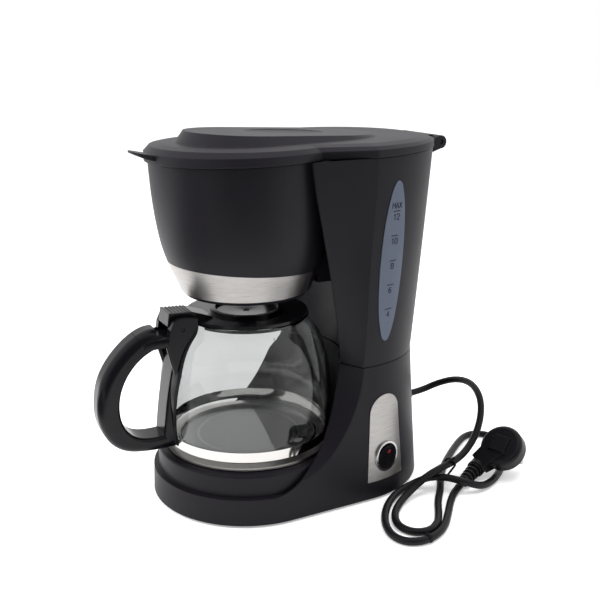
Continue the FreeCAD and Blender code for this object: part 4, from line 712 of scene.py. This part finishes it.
def front_strip(tree, place):
    """The painted reflection's front patch: one in the middle of the table well in front of the machine,
    falling to nought round it.
    """
    axes = add(tree, "ShaderNodeSeparateXYZ", {"Vector": place})
    beyond = add(tree, "ShaderNodeMapRange", {"Value": axes.outputs["Y"]},
                 {"From Min": STRIP_START, "From Max": STRIP_FULL}, interpolation_type="SMOOTHSTEP")
    aside = add(tree, "ShaderNodeMath", {0: axes.outputs["X"]}, operation="ABSOLUTE")
    within = add(tree, "ShaderNodeMapRange", {"Value": aside.outputs["Value"]},
                 {"From Min": STRIP_HALF, "From Max": STRIP_EDGE, "To Min": 1.0, "To Max": 0.0},
                 interpolation_type="SMOOTHSTEP")
    return add(tree, "ShaderNodeMath", {0: beyond.outputs["Result"], 1: within.outputs["Result"]},
               operation="MULTIPLY")


def side_fan(tree, place):
    """The painted reflection's side patch: one on the table beyond the switch's side, falling to nought
    close in and to both sides.
    """
    out = add(tree, "ShaderNodeVectorMath", {0: place}, operation="LENGTH")
    far = add(tree, "ShaderNodeMapRange", {"Value": out.outputs["Value"]},
              {"From Min": FAN_START, "From Max": FAN_FULL}, interpolation_type="SMOOTHSTEP")
    bearing = add(tree, "ShaderNodeVectorMath", {0: place}, operation="NORMALIZE")
    towards = add(tree, "ShaderNodeVectorMath", {0: bearing.outputs["Vector"]}, {1: FAN_DIRECTION},
                  operation="DOT_PRODUCT")
    facing = add(tree, "ShaderNodeMapRange", {"Value": towards.outputs["Value"]},
                 {"From Min": FAN_EDGE_COSINE, "From Max": FAN_FULL_COSINE},
                 interpolation_type="SMOOTHSTEP")
    return add(tree, "ShaderNodeMath", {0: far.outputs["Result"], 1: facing.outputs["Result"]},
               operation="MULTIPLY")


def table_laminate():
    """White laminate that keeps the soft shadow; painted reflection: glossy rays see dark patches of it;
    painted shade: through glass it is drawn greyer.
    """
    material, tree, place = new_material("white_table_laminate")
    painted_reflection_patch = add(tree, "ShaderNodeMath", {0: front_strip(tree, place).outputs["Value"],
                                         1: side_fan(tree, place).outputs["Value"]}, operation="MAXIMUM")
    # Painted reflection: dark patches of the table that only glossy rays see.
    path = add(tree, "ShaderNodeLightPath")
    painted_reflection_mask = add(tree, "ShaderNodeMath", {0: painted_reflection_patch.outputs["Value"], 1: path.outputs["Is Glossy Ray"]},
               operation="MULTIPLY")
    painted_reflection_colour = add(tree, "ShaderNodeMix", {"Factor": painted_reflection_mask.outputs["Value"]}, data_type="RGBA")
    painted_reflection_colour.inputs["A"].default_value = linear("#f7f7f7")
    painted_reflection_colour.inputs["B"].default_value = linear("#3a3a3c")
    # Painted shade: through glass the table is drawn greyer than it is.
    colour = add(tree, "ShaderNodeMix", {"Factor": path.outputs["Is Transmission Ray"],
                                         "A": painted_reflection_colour.outputs["Result"]}, data_type="RGBA")
    colour.inputs["B"].default_value = linear("#bebebe")
    diffuse = add(tree, "ShaderNodeBsdfDiffuse", {"Color": colour.outputs["Result"]})
    lift = add(tree, "ShaderNodeMath", {0: path.outputs["Is Camera Ray"]}, {1: FLOOR_LIFT},
               operation="MULTIPLY")
    glow = add(tree, "ShaderNodeEmission", {"Strength": lift.outputs["Value"]},
               {"Color": linear("#ffffff")})
    shader = add(tree, "ShaderNodeAddShader", {0: diffuse.outputs["BSDF"], 1: glow.outputs["Emission"]})
    close_material(tree, shader)
    return material


def floor():
    mesh = bpy.data.meshes.new("floor")
    half = FLOOR_HALF
    corners = [(-half, -half, 0.0), (half, -half, 0.0), (half, half, 0.0), (-half, half, 0.0)]
    mesh.from_pydata(corners, [], [(0, 1, 2, 3)])
    mesh.materials.append(table_laminate())
    plane = bpy.data.objects.new("floor", mesh)
    bpy.context.collection.objects.link(plane)


def light_and_camera():
    bpy.context.scene.view_settings.view_transform = "Standard"
    studio()
    floor()
    for row in SOFTBOXES:
        softbox(*row)
    camera()


finish_nodes()
mains_cord()
water_scale()
red_mark()
handle_seam()
yoke_swells()
yoke_edges()
small_tie()
light_and_camera()
